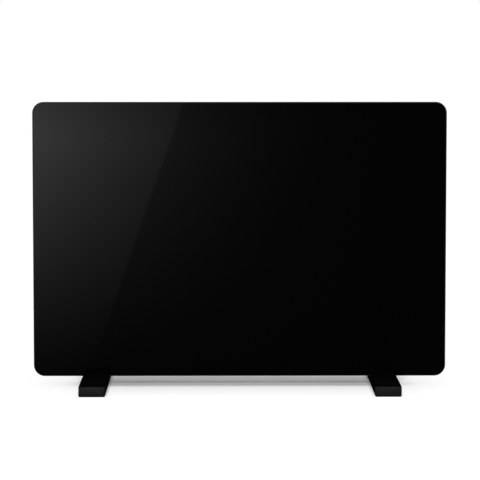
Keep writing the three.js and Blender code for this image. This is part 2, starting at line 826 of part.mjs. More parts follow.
// Holder: an angle bracket on the back panel whose plate carries the bush
function makeHolder(side) {
  const near = holderReach();
  const half = holderWidth / 2;
  const plate = block(side * near, side * (near + holderSheet), elementY - half, backPanelFrontY,
    -half, half);
  const foot = block(side * near, side * (near + holderFoot), backPanelFrontY - holderSheet,
    backPanelFrontY, -half, half);
  const reach = holderSheet + cutOverrun;
  const bore = pointRight(cylinder(bushRadius + fitClearance, -reach, reach));
  bore.translate(side * near, elementY, 0);
  return cut(join([plate, foot]), [bore]).translate(elementCentreX, 0, elementCentreZ);
}

// Flat push-on terminal at one end of the rod
function makeTerminal(side) {
  const near = elementLength / 2 + rodOverhang;
  const blade = block(side * near, side * (near + terminalLength), -terminalSheet / 2, terminalSheet / 2,
    -terminalWidth / 2, terminalWidth / 2);
  return blade.translate(elementCentreX, elementY, elementCentreZ);
}

// Bracket that holds the thermal cut-out off the back panel: a foot, an arm and a face
function makeCutoutBracket() {
  const back = backPanelFrontY;
  const face = back - cutoutArm;
  const half = cutoutRadius + holderSheet;
  const outline = [
    new THREE.Vector2(back, -half),
    new THREE.Vector2(back, 2 * half + holderSheet),
    new THREE.Vector2(back - holderSheet, 2 * half + holderSheet),
    new THREE.Vector2(back - holderSheet, half + holderSheet),
    new THREE.Vector2(face, half + holderSheet),
    new THREE.Vector2(face, -half),
    new THREE.Vector2(face + holderSheet, -half),
    new THREE.Vector2(face + holderSheet, half),
    new THREE.Vector2(back - holderSheet, half),
    new THREE.Vector2(back - holderSheet, -half),
  ];
  return extrudeAlongX(outline, cutoutX - half, cutoutX + half).translate(0, 0, cutoutZ);
}

// Thermal cut-out: a bimetal disc in a can with its cap towards the element
function makeCutout() {
  const form = turned([
    [0, 0],
    [cutoutRadius, 0],
    [cutoutRadius, cutoutHeight],
    [cutoutCapRadius, cutoutHeight],
    [cutoutCapRadius, cutoutHeight + cutoutCapHeight],
    [0, cutoutHeight + cutoutCapHeight],
  ]);
  return pointFront(form).translate(cutoutX, backPanelFrontY - cutoutArm, cutoutZ);
}

// Places where leads pass the partition, as heights
function partitionHoles() {
  return [elementCentreZ, elementCentreZ + leadHoleRise];
}

// Partition: a sheet wall between the two chambers with a flange on the back panel
function makePartition() {
  const x1 = partitionX + partitionSheet;
  const front = frameFlangeBackY + fitClearance;
  const reach = casingHeight / 2 - casingBackLip - fitClearance;
  const web = block(partitionX, x1, front, casingLipY - fitClearance,
    innerBottomZ + fitClearance, innerTopZ - fitClearance);
  const tongue = block(partitionX, x1, elementY, backPanelFrontY,
    casingCentreZ - reach, casingCentreZ + reach);
  const flange = block(partitionX - partitionFlange, x1, backPanelFrontY - partitionSheet, backPanelFrontY,
    casingCentreZ - reach, casingCentreZ + reach);
  const holes = partitionHoles().map((z) => pointRight(
    cylinder(leadHoleRadius, partitionX - cutOverrun, x1 + cutOverrun, smallRoundSteps))
    .translate(0, elementY, z));
  return cut(join([web, tongue, flange]), holes);
}

// Control panel: a moulded plate with a skirt that drops into the casing's side
function makeControlPanel() {
  const wall = panelFlangeThickness;
  const plateOutline = moveOutline(
    roundedRectangle(panelDepth, panelHeight, panelCornerRadius), panelCentreY, panelCentreZ);
  const switchWidth = switchBodyWidth + 2 * fitClearance;
  const switchHeight = switchBodyHeight + 2 * fitClearance;
  const cutouts = switchZ.map((z) => moveOutline(
    roundedRectangle(switchWidth, switchHeight, switchCutoutRadius, edgeSteps), panelCentreY, z));
  const shaftHole = circle(shaftRadius + turningClearance, panelCentreY, knobZ);
  const lampHole = circle(lampRadius + fitClearance, panelCentreY, lampZ);
  const plate = extrudeAlongX(plateOutline, casingHalf, panelFaceX, [...cutouts, shaftHole, lampHole]);
  const skirt = extrudeAlongX(panelHole(fitClearance), casingHalf - panelBodyDepth, panelFaceX - wall / 2,
    [panelHole(fitClearance + panelSkirtWall)]);
  return join([plate, skirt]);
}

// Thermostat knob: a skirted cap with finger flutes, a pointer rib and a blind bore
function makeKnob() {
  const edge = knobEdgeRadius;
  const cap = turned([
    [0, 0],
    [knobSkirtRadius, 0],
    [knobSkirtRadius, knobSkirtHeight - edge],
    [knobSkirtRadius - edge, knobSkirtHeight],
    [knobRadius, knobSkirtHeight],
    [knobRadius - knobDraft, knobHeight - edge],
    [knobRadius - knobDraft - edge, knobHeight],
    [0, knobHeight],
  ], 2 * knobGripCount);
  const flutes = Array.from({ length: knobGripCount }, (_, i) => {
    const angle = (i + 1 / 2) * 2 * Math.PI / knobGripCount;
    const flute = cylinder(knobFluteRadius, knobSkirtHeight, knobHeight + cutOverrun, 2 * edgeSteps);
    const reach = knobRadius + knobFluteRadius - knobGripDepth;
    return flute.translate(reach * Math.cos(angle), reach * Math.sin(angle), 0);
  });
  const bore = cylinder(shaftRadius + fitClearance, -cutOverrun, knobBoreDepth, smallRoundSteps);
  const rim = edge + knobDraft - knobRadius;
  const pointer = block(rim, rim + knobPointerLength, -knobPointerWidth / 2, knobPointerWidth / 2,
    knobHeight - edge, knobHeight + knobPointerRise);
  const knob = join([cut(cap, [...flutes, bore]), pointer]);
  return pointRight(knob).translate(panelFaceX + turningClearance, panelCentreY, knobZ);
}

// Thermostat shaft, from inside the thermostat's neck to the bottom of the knob's bore
function makeShaft() {
  const end = panelFaceX + turningClearance + knobBoreDepth - fitClearance;
  const shaft = pointRight(cylinder(shaftRadius, end - shaftLength, end, smallRoundSteps));
  return shaft.translate(0, panelCentreY, knobZ);
}

// Thermostat: a block with a threaded neck that meets the control panel from behind
function makeThermostat() {
  const neckEnd = casingHalf;
  const bodyFront = casingHalf - panelBodyDepth - fitClearance;
  const body = block(bodyFront - thermostatDepth, bodyFront, -thermostatWidth / 2, thermostatWidth / 2,
    -thermostatHeight / 2, thermostatHeight / 2);
  const neck = pointRight(cylinder(thermostatNeckRadius, bodyFront - cutOverrun, neckEnd, roundSteps));
  const shaftEnd = panelFaceX + turningClearance + knobBoreDepth - fitClearance - shaftLength;
  const bore = pointRight(cylinder(shaftRadius + turningClearance, shaftEnd - turningClearance,
    neckEnd + cutOverrun, smallRoundSteps));
  const tab = block(bodyFront - thermostatDepth - thermostatTab, bodyFront - thermostatDepth,
    -terminalWidth / 2, terminalWidth / 2, -terminalSheet / 2, terminalSheet / 2);
  return cut(join([body, neck, tab]), [bore]).translate(0, panelCentreY, knobZ);
}

// Rocker switch housing: a bezel on the panel, a body behind it and a pocket for the rocker
function makeSwitchHousing(z) {
  const bezelX = panelFaceX + switchBezelThickness;
  const bezel = extrudeAlongX(
    roundedRectangle(switchBezelWidth, switchBezelHeight, switchBezelThickness, edgeSteps),
    panelFaceX, bezelX);
  const body = block(panelFaceX - switchBodyDepth, panelFaceX + switchBezelThickness / 2,
    -switchBodyWidth / 2, switchBodyWidth / 2, -switchBodyHeight / 2, switchBodyHeight / 2);
  const pins = [-switchPinRise, switchPinRise].map((rise) => block(
    panelFaceX - switchBodyDepth - switchPinLength, panelFaceX - switchBodyDepth + switchBezelThickness / 2,
    -switchPinWidth / 2, switchPinWidth / 2, rise - terminalSheet / 2, rise + terminalSheet / 2));
  const pocketHalfWidth = rockerWidth / 2 + turningClearance;
  const swing = Math.hypot(rockerLength / 2, rockerReach) + turningClearance;
  const pocketHalfHeight = Math.min(swing, (switchBodyHeight - switchBezelThickness) / 2);
  const pocket = block(bezelX - switchPocketDepth, bezelX + cutOverrun, -pocketHalfWidth, pocketHalfWidth,
    -pocketHalfHeight, pocketHalfHeight);
  const trunnionReach = switchBezelWidth / 2 + cutOverrun;
  const trunnions = pointBack(cylinder(rockerPivotRadius + turningClearance, -trunnionReach, trunnionReach,
    smallRoundSteps)).translate(rockerPivotX, 0, 0);
  return cut(join([bezel, body, ...pins]), [pocket, trunnions]).translate(0, panelCentreY, z);
}

// Rocker: a dished cap on a hub with two trunnions, drawn level and then tilted to off
function makeRocker(z) {
  const half = rockerLength / 2;
  const dish = rockerDishShares.map((share) => new THREE.Vector2(
    rockerReach - rockerDip * (1 - share * share), share * half));
  const hub = Array.from({ length: edgeSteps + 1 }, (_, i) => {
    const angle = THREE.MathUtils.degToRad(rockerHubSpread * (1 / 2 - i / edgeSteps));
    return new THREE.Vector2(-rockerHubRadius * Math.cos(angle), rockerHubRadius * Math.sin(angle));
  });
  const skirt = rockerReach - rockerSkirt;
  const outline = [
    ...dish,
    new THREE.Vector2(skirt, half),
    ...hub,
    new THREE.Vector2(skirt, -half),
  ];
  const cap = extrudeBack(outline, -rockerWidth / 2, rockerWidth / 2);
  const reach = switchBodyWidth / 2 - fitClearance;
  const trunnions = pointBack(cylinder(rockerPivotRadius, -reach, reach, smallRoundSteps));
  const rocker = join([cap, trunnions]);
  rocker.rotateY(THREE.MathUtils.degToRad(rockerTilt));
  return rocker.translate(rockerPivotX, panelCentreY, z);
}

// Indicator lamp: a domed lens with its holder behind the panel
function makeLamp() {
  const dome = Array.from({ length: edgeSteps }, (_, i) => {
    const angle = i * Math.PI / 2 / edgeSteps;
    return [lampRadius * Math.cos(angle), lampLensReach * Math.sin(angle)];
  });
  const lamp = turned([[0, -lampBodyLength], [lampRadius, -lampBodyLength], ...dome, [0, lampLensReach]]);
  return pointRight(lamp).translate(panelFaceX, panelCentreY, lampZ);
}

// Tilt switch: a closed housing on the partition that opens the circuit if the heater falls
function makeTiltSwitch() {
  const outline = moveOutline(
    roundedRectangle(tiltWidth, tiltHeight, tiltCornerRadius), elementY, tiltCentreZ);
  const x0 = partitionX + partitionSheet;
  return extrudeAlongX(outline, x0, x0 + tiltDepth);
}

// Terminal block on the partition, with a screw well and a wire way for each pole
function makeTerminalBlock() {
  const x0 = partitionX + partitionSheet;
  const x1 = x0 + blockWidth;
  const pitch = blockLength / blockWayCount;
  const base = block(x0, x1, -blockLength / 2, blockLength / 2, -blockHeight / 2, blockHeight / 2);
  const ways = Array.from({ length: blockWayCount }, (_, i) => -blockLength / 2 + (i + 1 / 2) * pitch);
  const wells = ways.map((y) => pointRight(
    cylinder(blockWayWidth / 2, x1 - blockWellDepth, x1 + cutOverrun, smallRoundSteps)).translate(0, y, 0));
  const passages = ways.map((y) => cylinder(leadRadius + fitClearance, -blockHeight, blockHeight, leadSides)
    .translate(x0 + blockWidth / 3, y, 0));
  return cut(base, [...wells, ...passages]).translate(0, elementY, blockCentreZ);
}

// Hexagon across its corners, as a plan outline
const hexagon = (radius) => circle(radius, 0, 0, 6);

// Cord gland: hexagon, cap and threaded barrel with a bore, seated on the back panel
function makeGland() {
  const barrelEnd = backPanelSheet + glandNutThickness + fitClearance;
  const barrel = cylinder(glandThreadRadius, -barrelEnd, glandHexThickness);
  const hex = extrudeUp(hexagon(glandHexRadius), 0, glandHexThickness);
  const cap = turned([
    [0, 0],
    [glandCapRadius, 0],
    [glandCapRadius, glandHexThickness + glandCapLength / 2],
    [glandCapRadius - glandCapTaper, glandHexThickness + glandCapLength],
    [0, glandHexThickness + glandCapLength],
  ]);
  const bore = cylinder(glandBoreRadius, -barrelEnd - cutOverrun,
    glandHexThickness + glandCapLength + cutOverrun, smallRoundSteps);
  return pointBack(cut(join([barrel, hex, cap]), [bore])).translate(glandX, backPanelBackY, glandZ);
}

// Lock nut on the gland's barrel, inside the back panel
function makeGlandNut() {
  const nut = extrudeUp(hexagon(glandHexRadius), -glandNutThickness, 0);
  const bore = cylinder(glandThreadRadius + fitClearance, -glandNutThickness - cutOverrun, cutOverrun);
  return pointBack(cut(nut, [bore])).translate(glandX, backPanelFrontY, glandZ);
}

// Insulated lead along a smooth path through the given points
function makeLead(points) {
  const path = new THREE.CatmullRomCurve3(points.map((p) => new THREE.Vector3(...p)), false, 'centripetal');
  const section = new THREE.Shape(circle(leadRadius, 0, 0, leadSides));
  const lead = new THREE.ExtrudeGeometry(section, {
    steps: leadPointSteps * points.length, extrudePath: path, bevelEnabled: false,
  });
  return lead;
}

// Ring of the level plane: a rounded rectangle at height z, centred on x, y
function levelRing(width, depth, radius, z, x, y) {
  return roundedRectangle(width, depth, radius).map((p) => new THREE.Vector3(x + p.x, y + p.y, z));
}

// Places of the two screws that hold each foot
function footScrewPlaces() {
  const half = footScrewSpacing / 2;
  return [-1, 1].flatMap((side) => [-1, 1].map((end) => ({
    x: side * footCentreX, y: casingMiddleY + end * half,
  })));
}

// Foot: a long bar, open underneath, with ribs inside and a pedestal that meets the casing
function makeFoot(side) {
  const x = side * footCentreX;
  const innerRadius = footCornerRadius - footWall;
  const ceilingZ = footTopHeight - footWall;
  const outer = (less, z) => levelRing(
    footWidth - 2 * less, footLength - 2 * less, footCornerRadius - less, z, x, 0);
  const inner = (z) => levelRing(footWidth - 2 * footWall, footLength - 2 * footWall, innerRadius, z, x, 0);
  const crown = Array.from({ length: edgeSteps + 1 }, (_, i) => {
    const angle = i * Math.PI / 2 / edgeSteps;
    return outer(footEdgeRadius * (1 - Math.cos(angle)),
      footTopHeight - footEdgeRadius * (1 - Math.sin(angle)));
  });
  const shell = loft([inner(ceilingZ), inner(footUnderZ), outer(0, footUnderZ), ...crown]);
  const pedestal = loft([
    levelRing(footPedestalWidth + 2 * footPedestalDraft, footPedestalDepth + 2 * footPedestalDraft,
      footCornerRadius, ceilingZ + footWall / 2, x, casingMiddleY),
    levelRing(footPedestalWidth, footPedestalDepth, footCornerRadius, casingBottomZ, x, casingMiddleY),
  ]);
  const ribPitch = footLength / (footRibCount + 1);
  const ribHalf = footWidth / 2 - footWall / 2;
  const ribs = Array.from({ length: footRibCount }, (_, i) => {
    const y = -footLength / 2 + (i + 1) * ribPitch;
    return block(x - ribHalf, x + ribHalf, y - footRibSheet / 2, y + footRibSheet / 2,
      footUnderZ + footPadGrip, ceilingZ + footWall / 2);
  });
  const screws = footScrewPlaces().flatMap((place) => [
    cylinder(footScrewRadius + fitClearance, 0, casingBottomZ + cutOverrun, smallRoundSteps)
      .translate(place.x, place.y, 0),
    cylinder(footScrewHeadRadius + fitClearance, 0, footScrewHeadZ, smallRoundSteps)
      .translate(place.x, place.y, 0),
  ]);
  return cut(join([shell, pedestal, ...ribs]), screws);
}

// Rubber pad under one end of a foot, with a plug that sits inside the bar
function makeFootPad(side, end) {
  const x = side * footCentreX;
  const middle = footLength / 2 - footPadInset - footPadLength / 2;
  const sole = extrudeUp(roundedRectangle(footWidth - 2 * footPadInset, footPadLength,
    footCornerRadius - footPadInset), 0, footUnderZ);
  const plugInset = footWall + fitClearance - footPadInset;
  const plug = extrudeUp(roundedRectangle(footWidth - 2 * (footWall + fitClearance),
    footPadLength - 2 * plugInset, footCornerRadius - footWall), footUnderZ / 2, footUnderZ + footPadGrip
    - fitClearance);
  return join([sole, plug]).translate(x, end * middle, 0);
}

// Bracket inside the casing that the foot's screws pull against: a channel open upwards
function makeFootBracket(side) {
  const half = footBracketLength / 2;
  const floor = innerBottomZ;
  const x = side * footCentreX;
  const channel = [
    new THREE.Vector2(x - half, floor),
    new THREE.Vector2(x + half, floor),
    new THREE.Vector2(x + half, floor + footBracketHeight),
    new THREE.Vector2(x + half - footBracketSheet, floor + footBracketHeight),
    new THREE.Vector2(x + half - footBracketSheet, floor + footBracketSheet),
    new THREE.Vector2(x - half + footBracketSheet, floor + footBracketSheet),
    new THREE.Vector2(x - half + footBracketSheet, floor + footBracketHeight),
    new THREE.Vector2(x - half, floor + footBracketHeight),
  ];
  const bracket = extrudeBack(channel, chamberMiddleY - footBracketDepth / 2,
    chamberMiddleY + footBracketDepth / 2);
  const holes = footScrewPlaces().map((place) => cylinder(footScrewRadius + fitClearance,
    floor - cutOverrun, floor + footBracketHeight, smallRoundSteps).translate(place.x, place.y, 0));
  return cut(bracket, holes);
}

// Foot screw: head up inside the foot's counterbore, shank through to the bracket
function makeFootScrew({ x, y }) {
  const form = turned([
    [0, -footScrewHeadHeight],
    [footScrewHeadRadius, -footScrewHeadHeight],
    [footScrewHeadRadius, 0],
    [footScrewRadius, 0],
    [footScrewRadius, footScrewLength],
    [0, footScrewLength],
  ], smallRoundSteps);
  return form.translate(x, y, footScrewHeadZ);
}

// Routes of the leads, from one terminal to the next
const wayPitch = blockLength / blockWayCount;
const wayX = partitionX + partitionSheet + blockWidth / 3;
const blockTopZ = blockCentreZ + blockHeight / 2;
const blockUnderZ = blockCentreZ - blockHeight / 2;
const pinX = panelFaceX - switchBodyDepth - switchPinLength - fitClearance;
const tabX = casingHalf - panelBodyDepth - thermostatDepth - thermostatTab - 2 * fitClearance;
const tipReach = elementLength / 2 + rodOverhang + terminalLength + fitClearance;
const turn = leadTurn;

const leadRoutes = {
  lead_feed: [
    [wayX, elementY - wayPitch, blockTopZ + fitClearance],
    [wayX, elementY - wayPitch, blockTopZ + 2 * turn],
    [wayX + turn, panelCentreY - turn, switchZ[1]],
    [pinX - 2 * turn, panelCentreY, switchZ[0] - switchPinRise - turn],
    [pinX - turn, panelCentreY, switchZ[0] - switchPinRise],
    [pinX, panelCentreY, switchZ[0] - switchPinRise],
  ],
  lead_thermostat: [
    [pinX, panelCentreY, switchZ[0] + switchPinRise],
    [pinX - turn, panelCentreY, switchZ[0] + switchPinRise],
    [pinX - 2 * turn, panelCentreY, (switchZ[0] + knobZ) / 2],
    [tabX - turn, panelCentreY, knobZ],
    [tabX, panelCentreY, knobZ],
  ],
  lead_element: [
    [pinX, panelCentreY, switchZ[1] + switchPinRise],
    [pinX - turn, panelCentreY, switchZ[1] + switchPinRise],
    [pinX - turn, panelCentreY + turn / 2, switchZ[1] - 2 * turn],
    [pinX - turn / 2, panelCentreY + turn / 2, blockCentreZ],
    [pinX - turn, elementY, elementCentreZ + 2 * turn],
    [pinX - 3 * turn, elementY, elementCentreZ],
    [elementCentreX + tipReach, elementY, elementCentreZ],
  ],
  lead_return: [
    [wayX, elementY + wayPitch, blockUnderZ - fitClearance],
    [wayX, elementY + wayPitch, blockUnderZ - turn],
    [wayX, elementY + turn / 4, elementCentreZ + leadHoleRise + turn / 2],
    [partitionX, elementY, elementCentreZ + leadHoleRise],
    [partitionX - turn, elementY - turn / 2, elementCentreZ + leadHoleRise - turn / 2],
    [partitionX - 2 * turn, elementY - 3 * turn / 2, elementCentreZ - turn],
    [partitionX - 4 * turn, elementY - 3 * turn / 2, elementCentreZ - 6 * turn],
    [partitionX - 9 * turn, elementY - 3 * turn / 2, elementCentreZ - 8 * turn],
    [elementCentreX - tipReach + 8 * turn, elementY - 3 * turn / 2, elementCentreZ - 8 * turn],
    [elementCentreX - tipReach + turn, elementY - turn, elementCentreZ - 6 * turn],
    [elementCentreX - tipReach - 2 * turn / 3, elementY, elementCentreZ - 2 * turn],
    [elementCentreX - tipReach - 2 * turn / 3, elementY, elementCentreZ - 2 * turn / 3],
    [elementCentreX - tipReach - turn / 3, elementY, elementCentreZ],
    [elementCentreX - tipReach, elementY, elementCentreZ],
  ],
};

// The glass front and what carries it
addPiece('glass_panel', makeGlass(), blackGlass);
for (const [name, geometry] of Object.entries(makeBonds())) {
  addPiece(name, geometry, blackSilicone);
}
addPiece('front_frame', makeFrontFrame(), blackSteel);
addPiece('heat_shield', makeHeatShield(), galvanisedSteel);

// The casing
addPiece('casing_shell', makeCasingShell(), blackSteel);
addPiece('back_panel', makeBackPanel(), blackSteel);
addPiece('outlet_grille', makeGrille(outletLength, casingTopZ, 1), blackSteel);
addPiece('inlet_grille', makeGrille(inletLength, casingBottomZ, -1), blackSteel);
sideScrewPlaces().forEach((place, i) => addPiece(`side_screw_${i + 1}`, screw(place), zincSteel));
backScrewPlaces().forEach((place, i) => addPiece(`back_screw_${i + 1}`, screw(place), zincSteel));

// The heating chamber
addPiece('element_profile', makeElementProfile(), aluminium);
addPiece('element_rod', makeElementRod(), sheathSteel);
for (const [name, side] of [['left', -1], ['right', 1]]) {
  addPiece(`ceramic_bush_${name}`, makeBush(side), whiteCeramic);
  addPiece(`element_holder_${name}`, makeHolder(side), galvanisedSteel);
  addPiece(`element_terminal_${name}`, makeTerminal(side), zincSteel);
}
addPiece('cutout_bracket', makeCutoutBracket(), galvanisedSteel);
addPiece('thermal_cutout', makeCutout(), zincSteel);
addPiece('partition', makePartition(), galvanisedSteel);

// The controls and the wiring
addPiece('control_panel', makeControlPanel(), blackPlastic);
addPiece('thermostat_knob', makeKnob(), blackPlastic);
addPiece('thermostat_shaft', makeShaft(), zincSteel);
addPiece('thermostat', makeThermostat(), greyPlastic);
for (const [name, z] of [['upper', switchZ[0]], ['lower', switchZ[1]]]) {
  addPiece(`switch_housing_${name}`, makeSwitchHousing(z), blackPlastic);
  addPiece(`switch_rocker_${name}`, makeRocker(z), blackPlastic);
}
addPiece('indicator_lamp', makeLamp(), amberLens);
addPiece('tilt_switch', makeTiltSwitch(), greyPlastic);
addPiece('terminal_block', makeTerminalBlock(), greyPlastic);
addPiece('cord_gland', makeGland(), blackPlastic);
addPiece('gland_nut', makeGlandNut(), blackPlastic);
const leadColours = {
  lead_feed: brownLead, lead_thermostat: blackLead, lead_element: blackLead, lead_return: blueLead,
};
for (const [name, points] of Object.entries(leadRoutes)) {
  addPiece(name, makeLead(points), leadColours[name]);
}

// The feet
for (const [name, side] of [['left', -1], ['right', 1]]) {
  addPiece(`foot_${name}`, makeFoot(side), blackPlastic);
  addPiece(`foot_bracket_${name}`, makeFootBracket(side), galvanisedSteel);
  addPiece(`foot_pad_${name}_front`, makeFootPad(side, -1), blackRubber);
  addPiece(`foot_pad_${name}_rear`, makeFootPad(side, 1), blackRubber);
}
footScrewPlaces().forEach((place, i) => addPiece(`foot_screw_${i + 1}`, makeFootScrew(place), zincSteel));

export default heater;
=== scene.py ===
# A glass panel heater: from the checked model to its studio picture

# %% [markdown]
# The heater is a sheet of black toughened glass in front of a slim steel casing, on two moulded feet.
# A CAD model of it exists already: every piece has its real size, and the knob and switches move.
# This lesson dresses that model. It could be modelled again from nothing, but then nothing would
# guarantee that the parts fit, so the model is loaded as a frame and each new piece is built onto it.

# %% Load the frame and measure it
import json

import bpy
import numpy as np
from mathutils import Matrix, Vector
from mathutils.bvhtree import BVHTree


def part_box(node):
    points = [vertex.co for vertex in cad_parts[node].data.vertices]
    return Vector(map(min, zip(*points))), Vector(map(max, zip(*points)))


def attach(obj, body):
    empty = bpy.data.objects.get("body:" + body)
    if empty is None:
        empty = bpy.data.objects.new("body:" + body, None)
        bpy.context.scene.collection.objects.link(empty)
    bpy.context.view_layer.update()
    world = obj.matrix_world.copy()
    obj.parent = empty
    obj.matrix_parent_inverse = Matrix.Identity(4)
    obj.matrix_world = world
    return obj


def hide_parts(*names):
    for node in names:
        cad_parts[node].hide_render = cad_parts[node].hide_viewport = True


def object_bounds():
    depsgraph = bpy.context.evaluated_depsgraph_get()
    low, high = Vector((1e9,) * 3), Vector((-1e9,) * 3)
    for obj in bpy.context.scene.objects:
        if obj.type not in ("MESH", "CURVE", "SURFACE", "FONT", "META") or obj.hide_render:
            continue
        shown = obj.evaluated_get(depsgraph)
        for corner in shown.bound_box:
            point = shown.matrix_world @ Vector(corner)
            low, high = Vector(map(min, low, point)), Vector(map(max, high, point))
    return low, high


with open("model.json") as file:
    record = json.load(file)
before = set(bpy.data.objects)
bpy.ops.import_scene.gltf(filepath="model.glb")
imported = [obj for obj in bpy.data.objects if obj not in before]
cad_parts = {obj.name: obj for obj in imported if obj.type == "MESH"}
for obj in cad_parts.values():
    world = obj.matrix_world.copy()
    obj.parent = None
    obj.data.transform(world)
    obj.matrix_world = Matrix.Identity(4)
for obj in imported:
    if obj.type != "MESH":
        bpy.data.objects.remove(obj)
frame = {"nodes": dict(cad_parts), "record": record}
cad_low, cad_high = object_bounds()
millimetre = 0.001
full_turn = 2 * np.pi
heater_size = (cad_high - cad_low) / millimetre
print("CAD box, width depth height in mm:", [round(side, 1) for side in heater_size])

# %% [markdown]
# A product picture is taken from far away with a long lens, so that the panel keeps its rectangle.
# The camera could be turned until the picture looks right, but here its place was solved from the
# panel's corners, the feet's front edges and the line where the feet meet the floor. The lens is
# shifted down a little, as a shift lens in a studio is: the camera then tilts less, and the panel's
# sides stay nearly upright.

# %% Set up the camera
camera_place = Vector((-29.9, -3840.5, 648.8)) * millimetre
camera_pitch = np.radians(4.186)
camera_turn = np.radians(0.457)
lens_length = 160.76
lens_shift = -0.12
sensor_width = 36.0

camera_data = bpy.data.cameras.new("studio_camera")
camera_data.lens = lens_length
camera_data.sensor_width = sensor_width
camera_data.shift_y = lens_shift
camera = bpy.data.objects.new("studio_camera", camera_data)
camera.location = camera_place
camera.rotation_euler = (np.pi / 2 - camera_pitch, 0, -camera_turn)
bpy.context.scene.collection.objects.link(camera)
bpy.context.scene.camera = camera
print("camera stands", round(-camera_place.y, 2), "m in front of the heater's middle")

# %% [markdown]
# Colours are easiest to note as the hex values of a picture, but light adds up in linear numbers.
# One function turns hex to linear by the sRGB curve, and one small function adds a node to a
# material, sets its values and joins its inputs, so that each material below reads like a recipe.

# %% Helpers for colours and nodes
def linear(hex_colour):
    """sRGB hex to linear RGBA: v/12.92 below 0.04045, else ((v + 0.055)/1.055) to the power 2.4."""
    value = np.array([int(hex_colour[i:i + 2], 16) for i in (1, 3, 5)]) / 255
    low, high = value / 12.92, ((value + 0.055) / 1.055) ** 2.4
    return (*np.where(value <= 0.04045, low, high).tolist(), 1.0)


def add_node(tree, kind, settings=None, links=None):
    """Adds a node; settings fill its own fields or its inputs, links join outputs to its inputs."""
    node = tree.nodes.new(kind)
    for name, value in (settings or {}).items():
        if isinstance(name, str) and hasattr(node, name):
            setattr(node, name, value)
        else:
            node.inputs[name].default_value = value
    for name, output in (links or {}).items():
        tree.links.new(output, node.inputs[name])
    return node


def new_material(name, **surface):
    """An empty node material with its Principled shader, whose sockets take the given values."""
    material = bpy.data.materials.new(name)
    material.use_nodes = True
    shader = material.node_tree.nodes["Principled BSDF"]
    for socket, value in surface.items():
        shader.inputs[socket.replace("_", " ")].default_value = value
    return material, material.node_tree, shader


print("white in linear numbers:", linear("#ffffff")[:3])

# %% [markdown]
# The studio is a white floor that runs on into a white background. Lighting the floor until it burns
# out would also burn out the heater, so the lamps give the floor little more than full white. The
# world is white only where the camera or a reflection looks at it, and dim as a light. The floor
# takes diffuse light, which is what leaves the soft shadow under the heater.

# %% Floor and world
floor_half = 30.0
floor_colour = "#fcfcfc"
floor_lift = 0.01
sky_light = 0.05
pale = (1.0, 1.0, 1.0, 1.0)


def seen_directly(tree):
    """1 for camera, mirror and glass rays and 0 for all others: the largest of three flags."""
    path = add_node(tree, "ShaderNodeLightPath")
    mirror = add_node(tree, "ShaderNodeMath", {"operation": "MAXIMUM"},
                      {0: path.outputs["Is Camera Ray"], 1: path.outputs["Is Glossy Ray"]})
    return add_node(tree, "ShaderNodeMath", {"operation": "MAXIMUM"},
                    {0: mirror.outputs[0], 1: path.outputs["Is Transmission Ray"]}).outputs[0]


def make_floor():
    """Four corners at height 0, and a matt white that adds a little light of its own where seen."""
    mesh = bpy.data.meshes.new("studio_floor")
    signs = ((-1, -1), (1, -1), (1, 1), (-1, 1))
    corners = [(floor_half * side, floor_half * ahead, 0) for side, ahead in signs]
    mesh.from_pydata(corners, [], [list(range(len(corners)))])
    floor = bpy.data.objects.new("studio_floor", mesh)
    bpy.context.scene.collection.objects.link(floor)
    material, tree, shader = new_material("matt_white_floor_paper", Base_Color=linear(floor_colour),
                                          Roughness=1.0, Specular_IOR_Level=0.0, Emission_Color=pale)
    lift = add_node(tree, "ShaderNodeMath", {"operation": "MULTIPLY", 1: floor_lift},
                    {0: seen_directly(tree)})
    tree.links.new(lift.outputs[0], shader.inputs["Emission Strength"])
    mesh.materials.append(material)
    return floor


def make_world():
    """White where it is seen, and a weak even light from all round otherwise."""
    world = bpy.data.worlds.new("studio_air")
    world.use_nodes = True
    tree = world.node_tree
    strength = add_node(tree, "ShaderNodeMapRange", {"To Min": sky_light, "To Max": 1.0},
                        {"Value": seen_directly(tree)})
    background = tree.nodes["Background"]
    background.inputs["Color"].default_value = pale
    tree.links.new(strength.outputs["Result"], background.inputs["Strength"])
    bpy.context.scene.world = world


make_floor()
make_world()
bpy.context.scene.view_settings.view_transform = "Standard"
print("floor reaches", floor_half, "m each way")

# %% [markdown]
# The shadow in the picture tells where the light came from. It is half dark under the panel's lower
# edge and soon gone in front of it. So a large soft light hangs almost straight above the heater,
# and a second one stands in front. Both are sun lamps with a wide disc, which light the whole floor
# evenly. They could be area lamps, but those fade across the floor. Their discs are kept out of the
# reflections, because black plastic would show little else. Three weak lamps just above the floor
# are there only for the reflections: they lift the ends of the feet and their round corners, and
# add a few per cent to the light on the floor.

# %% The soft lights and the low lamps
# The share is that of full white on the floor; the disc, the height and the side are in degrees
overhead_light = {"share": 0.63, "disc": 39, "height": 87, "side": 0, "mirrored": False}
front_light = {"share": 0.35, "disc": 20, "height": 34, "side": -2, "mirrored": False}
low_lamps = {
    "low_front": {"share": 0.008, "disc": 6, "side": 0},
    "low_left": {"share": 0.014, "disc": 20, "side": -70},
    "low_right": {"share": 0.014, "disc": 20, "side": 70},
}
low_height = 6


def make_soft_light(name, share, disc, height, side, mirrored):
    """A sun lamp from (side, height) that gives a level white floor that share of full white."""
    data = bpy.data.lights.new(name, "SUN")
    rise, turn = np.radians(height), np.radians(side)
    data.energy = share * np.pi / np.sin(rise)
    data.angle = np.radians(disc)
    light = bpy.data.objects.new(name, data)
    across = np.cos(rise)
    towards = Vector((across * np.sin(turn), -across * np.cos(turn), np.sin(rise)))
    light.rotation_euler = towards.to_track_quat("Z", "Y").to_euler()
    light.visible_glossy = mirrored
    bpy.context.scene.collection.objects.link(light)
    return light


